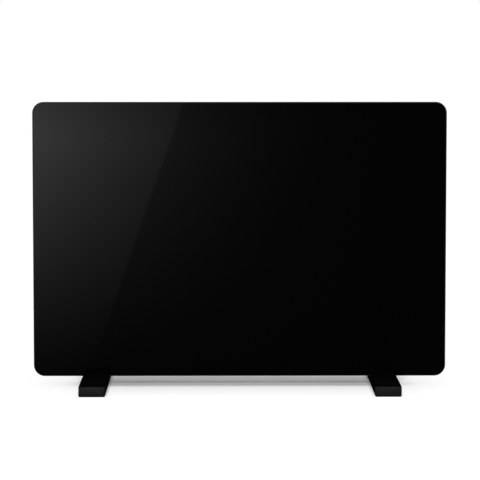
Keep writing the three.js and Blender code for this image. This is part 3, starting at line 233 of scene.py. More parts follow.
make_soft_light("overhead_softbox", **overhead_light)
make_soft_light("front_softbox", **front_light)
for low_name, low_lamp in low_lamps.items():
    make_soft_light(low_name, height=low_height, mirrored=True, **low_lamp)
low_share = sum(low_lamp["share"] for low_lamp in low_lamps.values())
large_share = overhead_light["share"] + front_light["share"]
print("floor light in all:", sky_light + large_share + low_share)

# %% [markdown]
# New pieces are surfaces worked out as whole arrays of points. One function gives a grid of points
# its quads and another makes the mesh; two small curves, a smooth step and a soft edge, draw every
# gradual change further on. Modelling tools could do the same by hand, but not with one formula.

# %% Helpers for surfaces
def grid_faces(rows, columns, closed=False):
    """Quads of a grid, its vertices row by row; closed joins the last column to the first."""
    last = columns if closed else columns - 1
    row, column = np.meshgrid(np.arange(rows - 1), np.arange(last), indexing="ij")
    beside = (column + 1) % columns
    corners = (row * columns + column, row * columns + beside,
               (row + 1) * columns + beside, (row + 1) * columns + column)
    return np.stack(corners, axis=-1).reshape(-1, 4)


def mesh_piece(name, points, faces, extra=()):
    """A mesh object at the origin from points, an array of quads and a list of other faces."""
    mesh = bpy.data.meshes.new(name)
    mesh.from_pydata(points.reshape(-1, 3).tolist(), [], faces.tolist() + list(extra))
    mesh.update()
    piece = bpy.data.objects.new(name, mesh)
    bpy.context.scene.collection.objects.link(piece)
    return piece


def face_vectors(piece, field):
    """The centre or the normal of every face, one row per face."""
    values = np.empty(3 * len(piece.data.polygons))
    piece.data.polygons.foreach_get(field, values)
    return values.reshape(-1, 3)


def shade_smooth(piece):
    """Marks every face as smooth, so that its shading follows the edges' angles."""
    piece.data.polygons.foreach_set("use_smooth", np.ones(len(piece.data.polygons), dtype=bool))


def smooth_step(value):
    """3v^2 - 2v^3 of the value held between 0 and 1."""
    held = np.clip(value, 0, 1)
    return held * held * (3 - 2 * held)


def soft_edge(distance, width):
    """A smooth step from 0 to 1 that takes the width and is halfway where the distance is 0."""
    return smooth_step(0.5 + distance / width)


step_samples = np.linspace(0, 1, 3)
print("the smooth step at 0, a half and 1:", smooth_step(step_samples))

# %% [markdown]
# Black glass mirrors whatever stands in front of it. Photographers put a dark sheet there, just
# outside the picture, and let one soft light graze it. Here no light grazes the sheet: it is black,
# which paints a dark reflection into the glass, and it glows with a painted sheen, which gives the
# grey sheen at the upper left that says "glass". The sheet lies on the floor in front and then stands
# up, and only mirror rays see it: it neither shows nor casts a shadow. The painted brightness is
# written per point with numpy, as a fade to the right, a fade downwards and one slanting edge where
# the sheen ends. Past the glass's own width the drawn sheen dies out and a painted glow rises to the
# white of the studio, so that the sheet has no visible end when the heater is looked at from the side.

# %% The sheet that the glass mirrors, with its painted sheen
glass_low, glass_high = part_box("glass_panel")
sheet_distance = 1.0
sheet_half_width = 1.7
drawn_half_width = 0.5
sheet_clearance = 0.001
sheet_top = 0.56
sheet_rows = 400
sheet_middle_columns = 480
sheet_side_columns = 60
# Brightness and shape of the painted sheen that the glass mirrors
sheen_strength = 0.82
sheen_curve = 1.9
sheen_fall = 1.6
sheen_foot = 0.15
top_fade = 0.9
top_fade_share = 0.9
slant_drop = 0.24
# The slanting edge, in shares of the glass's width: at the foot, added up to the top, and its blur
slant_foot_share = 0.133
slant_lean_share = 0.232
slant_blur_share = 0.007


# Painted sheen: the grey sheen in the glass is drawn here as the sheet's own brightness, not lit by a
# lamp
def sheen(x, ahead, z):
    """Brightness where the sheet is met by the mirrored view of a point on the glass.

    The mirrored ray spreads from the camera, so dividing by that spread gives the share of the
    glass's width and height at which the point is seen. The brightness is then
    (1 - share across) to the power of its fall, times a straight rise with the share up, which
    fades a little near the top, times a soft edge along a slanting line; the whole is raised to
    the sheen's curve.
    """
    spread = 1 + ahead / -camera_place.y
    seen_x = (x - camera_place.x * (1 - spread)) / spread
    seen_z = z / spread + camera_place.z * (1 - 1 / spread)
    across = np.clip((seen_x - glass_low.x) / (glass_high.x - glass_low.x), 0, 1)
    up = np.clip((seen_z - glass_low.z) / (glass_high.z - glass_low.z), 0, 1)
    rise = np.clip(sheen_foot + up, 0, 1) - top_fade * np.clip(up - top_fade_share, 0, 1)
    slant = across - (slant_foot_share + slant_lean_share * up)
    step = 1 - slant_drop * soft_edge(slant, slant_blur_share)
    return ((1 - across) ** sheen_fall * rise * step) ** sheen_curve


# Painted reflection: the sheet's glow, the painted sheen in the middle and a painted glow to white at
# the sides
def painted_sheen_and_glow(x, ahead, z):
    """The sheen in the middle, fading out past it, plus a glow that rises to white at the sides."""
    away = np.abs(x)
    drawn = 1 - smooth_step((away - drawn_half_width) / drawn_half_width)
    glow = smooth_step((away - drawn_half_width) / (sheet_half_width - drawn_half_width))
    return sheen_strength * sheen(x, ahead, z) * drawn + glow


def make_mirror_sheet():
    """Profile in depth and height (along the floor, then up) carried along the width."""
    run = np.linspace(0, sheet_distance + sheet_top, sheet_rows)
    ahead = np.minimum(run, sheet_distance)
    height = np.maximum(run - sheet_distance, 0) + sheet_clearance
    side = np.linspace(drawn_half_width, sheet_half_width, sheet_side_columns)
    middle = np.linspace(-drawn_half_width, drawn_half_width, sheet_middle_columns)
    width = np.concatenate((-side[:0:-1], middle, side[1:]))
    ahead, x = np.meshgrid(ahead, width, indexing="ij")
    height = np.broadcast_to(height[:, None], x.shape)
    points = np.stack((x, glass_low.y - ahead, height), axis=-1)
    sheet = mesh_piece("mirror_sheet", points, grid_faces(sheet_rows, len(width)))
    # The painted sheen and glow are stored per point; the black sheet glows with them, and the glass
    # mirrors it
    level = sheet.data.attributes.new("sheen", "FLOAT", "POINT")
    level.data.foreach_set("value", painted_sheen_and_glow(x, ahead, height).ravel())
    material, tree, shader = new_material("painted_sheen_black_sheet", Base_Color=(0, 0, 0, 1),
                                          Specular_IOR_Level=0.0, Emission_Color=pale)
    value = add_node(tree, "ShaderNodeAttribute", {"attribute_name": "sheen"})
    tree.links.new(value.outputs["Fac"], shader.inputs["Emission Strength"])
    material.cycles.emission_sampling = "NONE"
    sheet.data.materials.append(material)
    for ray in ("camera", "diffuse", "transmission", "volume_scatter", "shadow"):
        setattr(sheet, "visible_" + ray, False)
    return sheet


mirror_sheet = make_mirror_sheet()
print("sheet points:", len(mirror_sheet.data.vertices))

# %% [markdown]
# Almost everything on this heater is black, but no two blacks are alike. Sheet steel has a baked
# powder coat with a fine orange peel. Plastic shows the grain that was eroded into its mould. Rubber
# is dull, and silicone has a smooth skin. A single recipe makes a grained surface: noise of the
# grain's real size lifts the surface a little and varies its colour and gloss by a few per cent.

# %% Recipe of a grained finish
grain_detail = 2.0
grain_relief = 0.4
gloss_spread = 0.05


def grained_finish(name, colour, roughness, grain, depth, variation=0.15, **surface):
    """Surface with noise on its colour, roughness and height; grain and depth are in millimetres."""
    material, tree, shader = new_material(name, **surface)
    place = add_node(tree, "ShaderNodeTexCoord")
    frequency = 1 / (grain * millimetre)
    noise = add_node(tree, "ShaderNodeTexNoise", {"Scale": frequency, "Detail": grain_detail},
                     {"Vector": place.outputs["Object"]})
    tone = np.array(linear(colour)[:3])
    shade = add_node(tree, "ShaderNodeMix", {"data_type": "RGBA"}, {"Factor": noise.outputs["Fac"]})
    shade.inputs["A"].default_value = (*(tone * (1 - variation)).tolist(), 1.0)
    shade.inputs["B"].default_value = (*(tone * (1 + variation)).tolist(), 1.0)
    tree.links.new(shade.outputs["Result"], shader.inputs["Base Color"])
    dullness = {"To Min": roughness - gloss_spread, "To Max": roughness + gloss_spread}
    gloss = add_node(tree, "ShaderNodeMapRange", dullness, {"Value": noise.outputs["Fac"]})
    tree.links.new(gloss.outputs["Result"], shader.inputs["Roughness"])
    relief = {"Strength": grain_relief, "Distance": depth * millimetre}
    bump = add_node(tree, "ShaderNodeBump", relief, {"Height": noise.outputs["Fac"]})
    tree.links.new(bump.outputs["Normal"], shader.inputs["Normal"])
    return material


# Powder coat: sprayed and baked polyester; its orange peel of about 1.2 mm breaks up the gloss
powder_coat = grained_finish("black_powder_coat", "#141415", roughness=0.42, grain=1.2, depth=0.06)
print("first grained finish:", powder_coat.name)

# %% Enamel, plastics, rubber and ceramic
# Back of the glass: ceramic ink fired onto it, an eggshell black with a fine sandy feel
fired_enamel = grained_finish("fired_black_enamel", "#0e0e0f", roughness=0.45, grain=0.4, depth=0.01)
# Foot: glass-filled nylon; its long faces came out of an eroded mould and hardly mirror anything
foot_nylon = grained_finish("matt_black_nylon", "#060606", roughness=0.7, grain=0.5, depth=0.03,
                            Specular_IOR_Level=0.0)
# Foot ends: the same nylon against a polished face of the mould, so they are satin
foot_end_nylon = grained_finish("satin_black_nylon", "#070707", roughness=0.34, grain=0.5,
                                depth=0.02, Specular_IOR_Level=0.3)
# Control panel, knob, bezels and gland: ABS with a spark-eroded grain of 0.4 mm, which looks matt
eroded_abs = grained_finish("grained_black_abs", "#131314", roughness=0.5, grain=0.4, depth=0.04)
# Rockers: polished mould, so the ABS comes out glossy, with only a slow wave
gloss_abs = grained_finish("polished_black_abs", "#0c0c0d", roughness=0.16, grain=6, depth=0.01)
# Terminal block, thermostat case and tilt switch: light grey polyamide, dry and slightly mottled
grey_polyamide = grained_finish("grey_polyamide", "#a9aaa4", roughness=0.55, grain=1.5, depth=0.03)
# Pads: moulded nitrile rubber, dull, with a dusty bloom
nitrile_rubber = grained_finish("nitrile_rubber", "#080808", roughness=0.75, grain=0.8, depth=0.05,
                                variation=0.3, Specular_IOR_Level=0.2)
# Bond: silicone squeezed between glass and frame, smooth skin with soft waves
silicone_bead = grained_finish("black_silicone_bead", "#161616", roughness=0.38, grain=5, depth=0.2)
# Bushes: pressed and fired steatite, off-white, unglazed, faintly speckled
steatite = grained_finish("fired_steatite", "#e6e1d6", roughness=0.65, grain=0.7, depth=0.03,
                          variation=0.06)
# Leads: extruded PVC, smooth, a soft gloss
lead_surface = {"roughness": 0.36, "grain": 2, "depth": 0.01, "variation": 0.08}
brown_pvc = grained_finish("brown_pvc", "#5a3a22", **lead_surface)
black_pvc = grained_finish("black_pvc", "#101010", **lead_surface)
blue_pvc = grained_finish("blue_pvc", "#274f8f", **lead_surface)
print("materials so far, with the model's own:", len(bpy.data.materials))

# %% [markdown]
# Bare metal is told apart by its pattern more than by its colour. Hot-dip zinc freezes into flat
# crystals, the spangle, each tilted its own way. An extruded profile carries fine lines along its
# length. A heated sheath turns straw and blue in bands. Each is one noise or cell pattern of the
# right real size, stretched where the process stretches it.

# %% Bare metal finishes
metal_gloss_spread = 0.08
die_line_length, die_line_width = 60, 1.5
die_line_fineness = die_line_length / die_line_width


def metal_finish(name, dark, light, roughness, pattern, size, stretch=(1, 1, 1)):
    """Metal whose colour and roughness follow a cell or noise pattern of that size in millimetres."""
    material, tree, shader = new_material(name, Metallic=1.0)
    place = add_node(tree, "ShaderNodeTexCoord")
    run = add_node(tree, "ShaderNodeMapping", {"Scale": stretch}, {"Vector": place.outputs["Object"]})
    frequency = 1 / (size * millimetre)
    grains = add_node(tree, pattern, {"Scale": frequency}, {"Vector": run.outputs["Vector"]})
    spread = add_node(tree, "ShaderNodeSeparateColor", {}, {"Color": grains.outputs["Color"]})
    shade = add_node(tree, "ShaderNodeMix", {"data_type": "RGBA"}, {"Factor": spread.outputs["Red"]})
    shade.inputs["A"].default_value = linear(dark)
    shade.inputs["B"].default_value = linear(light)
    tree.links.new(shade.outputs["Result"], shader.inputs["Base Color"])
    dullness = {"To Min": roughness - metal_gloss_spread, "To Max": roughness + metal_gloss_spread}
    gloss = add_node(tree, "ShaderNodeMapRange", dullness, {"Value": spread.outputs["Green"]})
    tree.links.new(gloss.outputs["Result"], shader.inputs["Roughness"])
    return material


cells, noise = "ShaderNodeTexVoronoi", "ShaderNodeTexNoise"
# Hot-dip galvanised sheet: flat grey crystals about 9 mm across
galvanised = metal_finish("galvanised_sheet", "#9aa0a4", "#c2c7ca", roughness=0.42, pattern=cells,
                          size=9)
# Extruded aluminium: silver, with die lines along the profile, drawn 1.5 mm apart so that they show
extruded = metal_finish("extruded_aluminium", "#b4b7ba", "#d6d8da", roughness=0.36, pattern=noise,
                        size=die_line_length, stretch=(1, die_line_fineness, die_line_fineness))
# Heated steel sheath: bands of straw and blue-grey about 25 mm long
heat_tinted = metal_finish("heat_tinted_steel", "#5d5348", "#8d8878", roughness=0.38, pattern=noise,
                           size=25)
# Foot screws, terminals, shaft and cut-out: zinc-plated steel, a bright grey with a fine shimmer
zinc_plate = metal_finish("zinc_plated_steel", "#a8adaf", "#ccd0cf", roughness=0.3, pattern=noise,
                          size=1.5)
# Casing screws: zinc turned black in a passivating bath, a dark satin metal
blackened_zinc = metal_finish("black_passivated_steel", "#1a1a1c", "#2b2b2d", roughness=0.34,
                              pattern=noise, size=1.5)
print("metal finishes:", galvanised.name, extruded.name, heat_tinted.name, zinc_plate.name,
      blackened_zinc.name)

# %% [markdown]
# The lamp's lens is clear amber polycarbonate over a small neon bulb, unlit here. It could be an
# opaque orange button, but a lens is read by the light that enters it and comes back out coloured.

# %% Finish of the lamp lens
lens_wave = 1.5 * millimetre
lens_dullness = (0.08, 0.2)


def make_lens_finish():
    """Amber plastic that lets most light through, with faint moulding waves in its gloss."""
    material, tree, shader = new_material("amber_polycarbonate", Base_Color=linear("#e88a1c"), IOR=1.58,
                                          Transmission_Weight=0.6)
    place = add_node(tree, "ShaderNodeTexCoord")
    wave = add_node(tree, "ShaderNodeTexNoise", {"Scale": 1 / lens_wave},
                    {"Vector": place.outputs["Object"]})
    least, most = lens_dullness
    gloss = add_node(tree, "ShaderNodeMapRange", {"To Min": least, "To Max": most},
                     {"Value": wave.outputs["Fac"]})
    tree.links.new(gloss.outputs["Result"], shader.inputs["Roughness"])
    return material


amber_lens = make_lens_finish()
print("lens finish:", amber_lens.name)

# %% [markdown]
# The panel is float glass, cut, ground along its edge, printed black on its back with ceramic ink
# and then toughened on rollers. Seen from the front it is one deep black with a clear gloss over it.
# It could be made as clear glass over a black sheet; one dark surface with the gloss of glass looks
# the same here, since the ink touches the glass, and it renders without noise.

# %% Finishes of the glass
wipe_length = 90 * millimetre
wipe_stretch = 3
wipe_detail = 3.0
glass_dullness = (0.02, 0.05)
ripple_length = 60 * millimetre
ripple_depth = 0.5 * millimetre
ripple_relief = 0.05
grit_size = 0.4 * millimetre
grit_depth = 0.05 * millimetre
grit_relief = 0.3


def make_glass_face():
    """Black glass: near-black colour, mirror gloss, a faint roller ripple and fainter wiping marks."""
    material, tree, shader = new_material("black_backed_toughened_glass", Base_Color=linear("#030303"),
                                          IOR=1.52)
    place = add_node(tree, "ShaderNodeTexCoord")
    # Wiping leaves long soft marks, which give the gloss a slightly uneven depth
    stretch = add_node(tree, "ShaderNodeMapping", {"Scale": (1, 1, wipe_stretch)},
                       {"Vector": place.outputs["Object"]})
    wipe = add_node(tree, "ShaderNodeTexNoise", {"Scale": 1 / wipe_length, "Detail": wipe_detail},
                    {"Vector": stretch.outputs["Vector"]})
    least, most = glass_dullness
    gloss = add_node(tree, "ShaderNodeMapRange", {"To Min": least, "To Max": most},
                     {"Value": wipe.outputs["Fac"]})
    tree.links.new(gloss.outputs["Result"], shader.inputs["Roughness"])
    # Toughening rollers leave shallow waves, drawn shorter than the real ones so that they show
    ripple = add_node(tree, "ShaderNodeTexNoise", {"Scale": 1 / ripple_length, "Detail": 0},
                      {"Vector": place.outputs["Object"]})
    bump = add_node(tree, "ShaderNodeBump", {"Strength": ripple_relief, "Distance": ripple_depth},
                    {"Height": ripple.outputs["Fac"]})
    tree.links.new(bump.outputs["Normal"], shader.inputs["Normal"])
    return material


def make_glass_edge():
    """Ground glass edge: dark bottle green, dull, with the fine scratches of the grinding belt."""
    material, tree, shader = new_material("ground_glass_edge", Base_Color=linear("#060807"), IOR=1.52,
                                          Roughness=0.42, Specular_IOR_Level=0.15)
    place = add_node(tree, "ShaderNodeTexCoord")
    grit = add_node(tree, "ShaderNodeTexNoise", {"Scale": 1 / grit_size, "Detail": grain_detail},
                    {"Vector": place.outputs["Object"]})
    bump = add_node(tree, "ShaderNodeBump", {"Strength": grit_relief, "Distance": grit_depth},
                    {"Height": grit.outputs["Fac"]})
    tree.links.new(bump.outputs["Normal"], shader.inputs["Normal"])
    return material


glass_face = make_glass_face()
glass_edge = make_glass_edge()
print("glass finishes:", glass_face.name, glass_edge.name)

# %% [markdown]
# The sheet's edge is ground to a round "pencil" edge. A rounded rectangle is drawn as one line of
# points, and a profile of (distance in from the edge, depth) is carried round it: each step of the
# profile is the same line drawn a little smaller. A bevelled box would do for the outline, but the
# carried profile gives the round edge the same width on the straights and round the corners.

# %% Outlines and carried profiles
glass_corner = 20 * millimetre
corner_points = 14
edge_points = 7


def rounded_outline(half_width, half_height, radius):
    """Points of a rounded rectangle: each corner's centre plus radius times (cos, sin) of a quarter."""
    quarter = np.linspace(0, np.pi / 2, corner_points)
    angle = np.concatenate([quarter + turn * np.pi / 2 for turn in range(4)])
    sign_x = np.repeat([1, -1, -1, 1], corner_points)
    sign_z = np.repeat([1, 1, -1, -1], corner_points)
    x = sign_x * (half_width - radius) + radius * np.cos(angle)
    z = sign_z * (half_height - radius) + radius * np.sin(angle)
    return np.stack((x, z), axis=-1)


def carried_profile(half_width, half_height, radius, insets, levels):
    """Rings of the outline drawn at each inset and set at each level, as one array of points.

    An inset smaller than the radius moves the line inwards by that much; the corners keep
    their centres, so the rings stay an even distance apart.
    """
    rings = [rounded_outline(half_width - inset, half_height - inset, radius - inset)
             for inset in insets]
    flat = np.stack(rings)
    level = np.broadcast_to(np.asarray(levels)[:, None, None], (*flat.shape[:2], 1))
    return np.concatenate((flat, level), axis=-1)


glass_half_width = (glass_high.x - glass_low.x) / 2
glass_half_height = (glass_high.z - glass_low.z) / 2
glass_outline = rounded_outline(glass_half_width, glass_half_height, glass_corner)
print("points round the glass:", len(glass_outline))

# %% The glass panel
pencil_edge = 2.0 * millimetre


def make_glass():
    """Two flat faces joined by a half-round edge: inset r(1 - cos), depth along r sin, both ways."""
    middle = (glass_low + glass_high) / 2
    flank = (glass_high.y - glass_low.y) / 2 - pencil_edge
    angle = np.linspace(np.pi / 2, 0, edge_points)
    inset = pencil_edge * (1 - np.cos(angle))
    depth = flank + pencil_edge * np.sin(angle)
    insets = np.concatenate((inset, inset[::-1]))
    levels = np.concatenate((-depth, depth[::-1]))
    rings = carried_profile(glass_half_width, glass_half_height, glass_corner, insets, levels)
    x, z, y = np.moveaxis(rings, -1, 0)
    points = np.stack((x + middle.x, y + middle.y, z + middle.z), axis=-1)
    rows, columns = points.shape[:2]
    front = list(range(columns))
    back = [(rows - 1) * columns + corner for corner in reversed(front)]
    faces = grid_faces(rows, columns, closed=True)[:, ::-1]
    piece = mesh_piece("glass_sheet", points, faces, [front, back])
    for finish in (glass_edge, glass_face, fired_enamel):
        piece.data.materials.append(finish)
    # The last two faces are the front and the back; all others belong to the ground edge
    finish_of_face = np.zeros(len(piece.data.polygons), dtype=np.int32)
    finish_of_face[-2:] = (1, 2)
    piece.data.polygons.foreach_set("use_smooth", finish_of_face == 0)
    piece.data.polygons.foreach_set("material_index", finish_of_face)
    # The shadow in the picture is that of the casing and the feet, so the lamps see past the thin glass
    piece.visible_shadow = False
    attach(piece, "heater")
    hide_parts("glass_panel")
    return piece


def outward_share(piece):
    """Share of faces whose normal points away from the piece's middle."""
    centres, normals = face_vectors(piece, "center"), face_vectors(piece, "normal")
    away = centres - centres.mean(axis=0)
    return float(((away * normals).sum(axis=1) > 0).mean())


glass_sheet = make_glass()
print("glass faces that point outwards:", round(outward_share(glass_sheet), 3))

# %% [markdown]
# Each foot is one moulding: a long low bar, hollow underneath with stiffening ribs, and a short
# raised seat near its middle on which the casing stands. It could be a bevelled box. Here the bar's
# rounded outline is carried up the wall, round the top edge and in over the top, and from the
# bottom rim into the hollow, so that the wall has its true thickness wherever it is looked at.

# %% Closed shells from rings
def level_rings(middle, half_width, half_depth, radius, insets, levels):
    """The carried profile laid flat: its rings lie in the floor's plane and rise to each level."""
    rings = carried_profile(half_width, half_depth, radius, insets, levels)
    return rings + np.array([middle[0], middle[1], 0.0])


def closed_rings(points):
    """Quads of stacked rings with a flat face over the first and the last ring."""
    rows, columns = points.shape[:2]
    last = (rows - 1) * columns
    caps = [list(range(columns))[::-1], [last + column for column in range(columns)]]
    return grid_faces(rows, columns, closed=True), caps


def join_shells(name, shells):
    """One mesh object from several closed shells; each shell's faces are counted on from the last."""
    points, faces, caps, start = [], [], [], 0
    for shell in shells:
        quads, ends = closed_rings(shell)
        points.append(shell.reshape(-1, 3))
        faces.append(quads + start)
        caps += [[corner + start for corner in end] for end in ends]
        start += len(points[-1])
    return mesh_piece(name, np.concatenate(points), np.concatenate(faces), caps)


foot_low, foot_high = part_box("foot_left")
foot_size = (foot_high - foot_low) / millimetre
print("foot, width depth height in mm:", [round(side, 1) for side in foot_size])

# %% Sections of the foot
foot_top_round = 0.8 * millimetre
foot_wall = 3 * millimetre
rib_wall = 2 * millimetre
rib_round = 0.5 * millimetre
rib_count = 5
seat_rise = 15.5 * millimetre
seat_draft = 0.6 * millimetre
seat_fillet = 0.8 * millimetre


def foot_bar(low, high):
    """Hollow, rim, wall, quarter-round top edge and top, as insets and levels of one outline."""
    angle = np.linspace(0, np.pi / 2, edge_points)
    ceiling = high - foot_wall
    insets = np.concatenate(([foot_wall, foot_wall, 0], foot_top_round * (1 - np.cos(angle))))
    levels = np.concatenate(([ceiling, low, low], high - foot_top_round * (1 - np.sin(angle))))
    return insets, levels


def foot_seat(root, top):
    """Hollow quarter round at the root, then a wall that leans in by the draft up to the top."""
    angle = np.linspace(0, np.pi / 2, edge_points)
    flare = seat_draft + seat_fillet * (1 - np.sin(angle))
    rise = root + seat_fillet * (1 - np.cos(angle))
    insets = -np.concatenate(([flare[0]], flare, [0]))
    levels = np.concatenate(([root - foot_wall / 2], rise, [top]))
    return insets, levels


def foot_ribs(middle, low, high, bar_top):
    """Thin upright walls across the hollow, at even steps along the bar."""
    pitch = (high.y - low.y) / (rib_count + 1)
    half_width = (high.x - low.x) / 2 - foot_wall / 2
    levels = [low.z + rib_wall, bar_top - foot_wall / 2]
    return [level_rings((middle.x, low.y + (rib + 1) * pitch), half_width, rib_wall / 2, rib_round,
                        [0, 0], levels) for rib in range(rib_count)]


bar_height = foot_size[2] - seat_rise / millimetre
print("height of the foot's bar, mm:", round(bar_height, 1))

# %% The feet
foot_corner = 4 * millimetre
sharp_edge_angle = np.radians(40)
end_face_cosine = 0.17
seat_width = 40 * millimetre
seat_depth = 36 * millimetre
casing_middle_y = (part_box("front_frame")[0].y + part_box("back_panel")[0].y) / 2


def faces_the_ends(piece):
    """Marks the faces whose normal lies within about 80 degrees of the foot's length."""
    return np.abs(face_vectors(piece, "normal")[:, 1]) > end_face_cosine


def make_foot(side):
    """The bar, the seat and the ribs as closed shells that overlap a little inside the plastic."""
    low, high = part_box("foot_" + side)
    middle, bar_top = (low + high) / 2, high.z - seat_rise
    half_width, half_depth = (high.x - low.x) / 2, (high.y - low.y) / 2
    bar = level_rings(middle, half_width, half_depth, foot_corner, *foot_bar(low.z, bar_top))
    seat = level_rings((middle.x, casing_middle_y), seat_width / 2, seat_depth / 2, foot_corner,
                       *foot_seat(bar_top, high.z))
    piece = join_shells("foot_moulding_" + side, [bar, seat, *foot_ribs(middle, low, high, bar_top)])
    shade_smooth(piece)
    piece.data.set_sharp_from_angle(angle=sharp_edge_angle)
    piece.data.materials.append(foot_nylon)
    piece.data.materials.append(foot_end_nylon)
    piece.data.polygons.foreach_set("material_index", faces_the_ends(piece).astype(np.int32))
    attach(piece, "heater")
    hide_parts("foot_" + side)
    return piece


feet = [make_foot(side) for side in ("left", "right")]
print("foot outward faces:", [round(outward_share(foot), 2) for foot in feet])

# %% [markdown]
# The model's nodes come as loose triangles with razor-sharp edges. Real sheet is bent round a small
# radius and moulded plastic has a softened edge, and these edges are what catches the light. Each
# edge could be modelled, but a chain of modifiers does it for all: merge the corners, dissolve the
# flat triangles into whole faces, round every edge that turns sharply, and let the large flat faces
# decide how the surface is shaded, so that they stay flat and the bends look round.

# %% Softened edges
merge_gap = 0.005 * millimetre
flat_angle = np.radians(0.5)
bevel_angle = np.radians(34)
bevel_segments = 2
# Radius of each node's edges, in millimetres
edge_radius = {
    "casing_shell": 0.5, "back_panel": 0.25, "front_frame": 0.3, "outlet_grille": 0.2,
    "inlet_grille": 0.2, "control_panel": 0.4, "thermostat_knob": 0.25, "switch_housing_upper": 0.25,
    "switch_housing_lower": 0.25, "switch_rocker_upper": 0.3, "switch_rocker_lower": 0.3,
    "cord_gland": 0.3, "indicator_lamp": 0.15,
}


def soften_edges(node, radius):
    """Merge, dissolve, bevel and area-weighted normals, all as live modifiers on the node."""
    shade_smooth(node)
    weld = node.modifiers.new("merged_corners", "WELD")
    weld.merge_threshold = merge_gap
    flatten = node.modifiers.new("whole_faces", "DECIMATE")
    flatten.decimate_type = "DISSOLVE"
    flatten.angle_limit = flat_angle
    bevel = node.modifiers.new("rounded_edges", "BEVEL")
    bevel.width = radius
    bevel.segments = bevel_segments
    bevel.limit_method = "ANGLE"
    bevel.angle_limit = bevel_angle
    shading = node.modifiers.new("flat_faces_rule", "WEIGHTED_NORMAL")
    shading.keep_sharp = True


for node_name, radius in edge_radius.items():
    soften_edges(frame["nodes"][node_name], radius * millimetre)
print("nodes with softened edges:", len(edge_radius))

# %% [markdown]
# Eight pan-head screws hold the frame and the back panel. A pressed cross recess is what makes such
# a dot read as a screw. It could be cut with a boolean; here the head is a height over a round grid,
# and the cross is simply where that height is lower. Every screw stops at an angle of its own.

# %% Surface of a casing screw
screw_head_height = 2.2 * millimetre
screw_wall_height = 0.7 * millimetre
screw_shank_radius = 1.9 * millimetre
screw_rings, screw_columns = 32, 64
dome_power = 3.3
recess_reach = 2.1 * millimetre
recess_half_width = 0.45 * millimetre
recess_edge = 0.2 * millimetre
recess_depth = 1.3 * millimetre
recess_taper = 0.5
# How much further each screw is turned than the one before it, in radians
stop_angle = 2.4


def recess(u, v):
    """Depth of the cross: a soft edge at each arm's width and reach, less deep towards its ends."""
    arms = [soft_edge(recess_half_width - np.abs(across), recess_edge)
            * soft_edge(recess_reach - np.abs(along), recess_edge)
            for across, along in ((u, v), (v, u))]
    taper = 1 - recess_taper * np.clip(np.hypot(u, v) / recess_reach, 0, 1)
    return recess_depth * taper * np.maximum(*arms)


def screw_surface(head_radius, length, stop):
    """Rings from the shank's end up and over the head to its middle, as (u, v, height) points.

    The dome is wall + (height - wall) * (1 - share^p)^(1/p) with the share of the head's radius,
    which is flat in the middle and round at the rim, less the depth of the cross turned by stop.
    """
    share = np.cos(np.linspace(0, np.pi / 2, screw_rings, endpoint=False))
    dome = (screw_head_height - screw_wall_height) * (1 - share ** dome_power) ** (1 / dome_power)
    shank = [screw_shank_radius, screw_shank_radius]
    radius = np.concatenate((shank, [head_radius], head_radius * share))
    height = np.concatenate(([-length, 0, 0], screw_wall_height + dome))
    angle = np.arange(screw_columns) * full_turn / screw_columns
    radius, angle = np.meshgrid(radius, angle, indexing="ij")
    sunk = recess(radius * np.cos(angle - stop), radius * np.sin(angle - stop))
    height = height[:, None] - np.where(height[:, None] > 0, sunk, 0)
    return np.stack((radius * np.cos(angle), radius * np.sin(angle), height), axis=-1)


screw_low, screw_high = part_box("back_screw_1")
screw_size = (screw_high - screw_low) / millimetre
print("screw head and length in mm:", round(screw_size[0], 1), round(screw_size[1], 1))

# %% Screws in their places
def screw_axes(node_name, middle):
    """Two directions across the screw and the one it looks out along, as rows; side or back wall."""
    if node_name.startswith("side"):
        side = np.sign(middle[0])
        return np.array([[0, side, 0], [0, 0, 1], [side, 0, 0]])
    return np.array([[0, 0, 1], [1, 0, 0], [0, 1, 0]])


def make_screw(number, node_name):
    """The screw's surface stood on the seat of its node, along the direction it was driven from."""
    low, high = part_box(node_name)
    middle, size = np.array((low + high) / 2), np.array(high - low)
    axes = screw_axes(node_name, middle)
    out = axes[-1]
    length = float(np.abs(out @ size))
    seat = middle + out * (length / 2 - screw_head_height)
    surface = screw_surface(size[2] / 2, length - screw_head_height, number * stop_angle)
    points = seat + surface @ axes
    piece = mesh_piece("driven_" + node_name, points, *closed_rings(points))
    shade_smooth(piece)
    piece.data.set_sharp_from_angle(angle=sharp_edge_angle)
    piece.data.materials.append(blackened_zinc)
    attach(piece, "heater")
    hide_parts(node_name)
    return piece


screws_per_place = 4
screw_nodes = [f"{place}_screw_{number + 1}" for place in ("side", "back")
               for number in range(screws_per_place)]
screws = [make_screw(number, node_name) for number, node_name in enumerate(screw_nodes)]
print("screws:", len(screws), "outward faces:", round(outward_share(screws[0]), 2))

# %% [markdown]
# The marks on the control side are pad-printed: a soft pad lifts thin white ink off a plate and
# presses it onto the plastic. They could be a texture, but thin films laid on the surface stay sharp
# at any distance and can ride on the part that moves. Only the plainest marks are printed: a scale
# round the dial, a nought where it is off, and the bar and ring of a mains switch.

# %% Ink and its flat shapes
ink_thickness = 0.05 * millimetre
ink_line = 0.5 * millimetre
ring_points = 48
# Pad ink: an off-white that covers well and dries satin, hardly mottled
white_ink = grained_finish("white_pad_print_ink", "#d4d4cf", roughness=0.5, grain=0.3, depth=0.004,
                           variation=0.05)


def flat_bars(middle, long_way, half_length, half_width):
    """Four corners per bar: middle plus or minus half length along and half width across."""
    across_way = long_way[:, ::-1] * np.array([1, -1])
    ends = half_length * np.array([-1, 1, 1, -1])
    sides = half_width[:, None] * np.array([-1, -1, 1, 1])
    along = long_way[:, None] * ends[None, :, None]
    across = across_way[:, None] * sides[..., None]
    return middle[:, None] + along + across


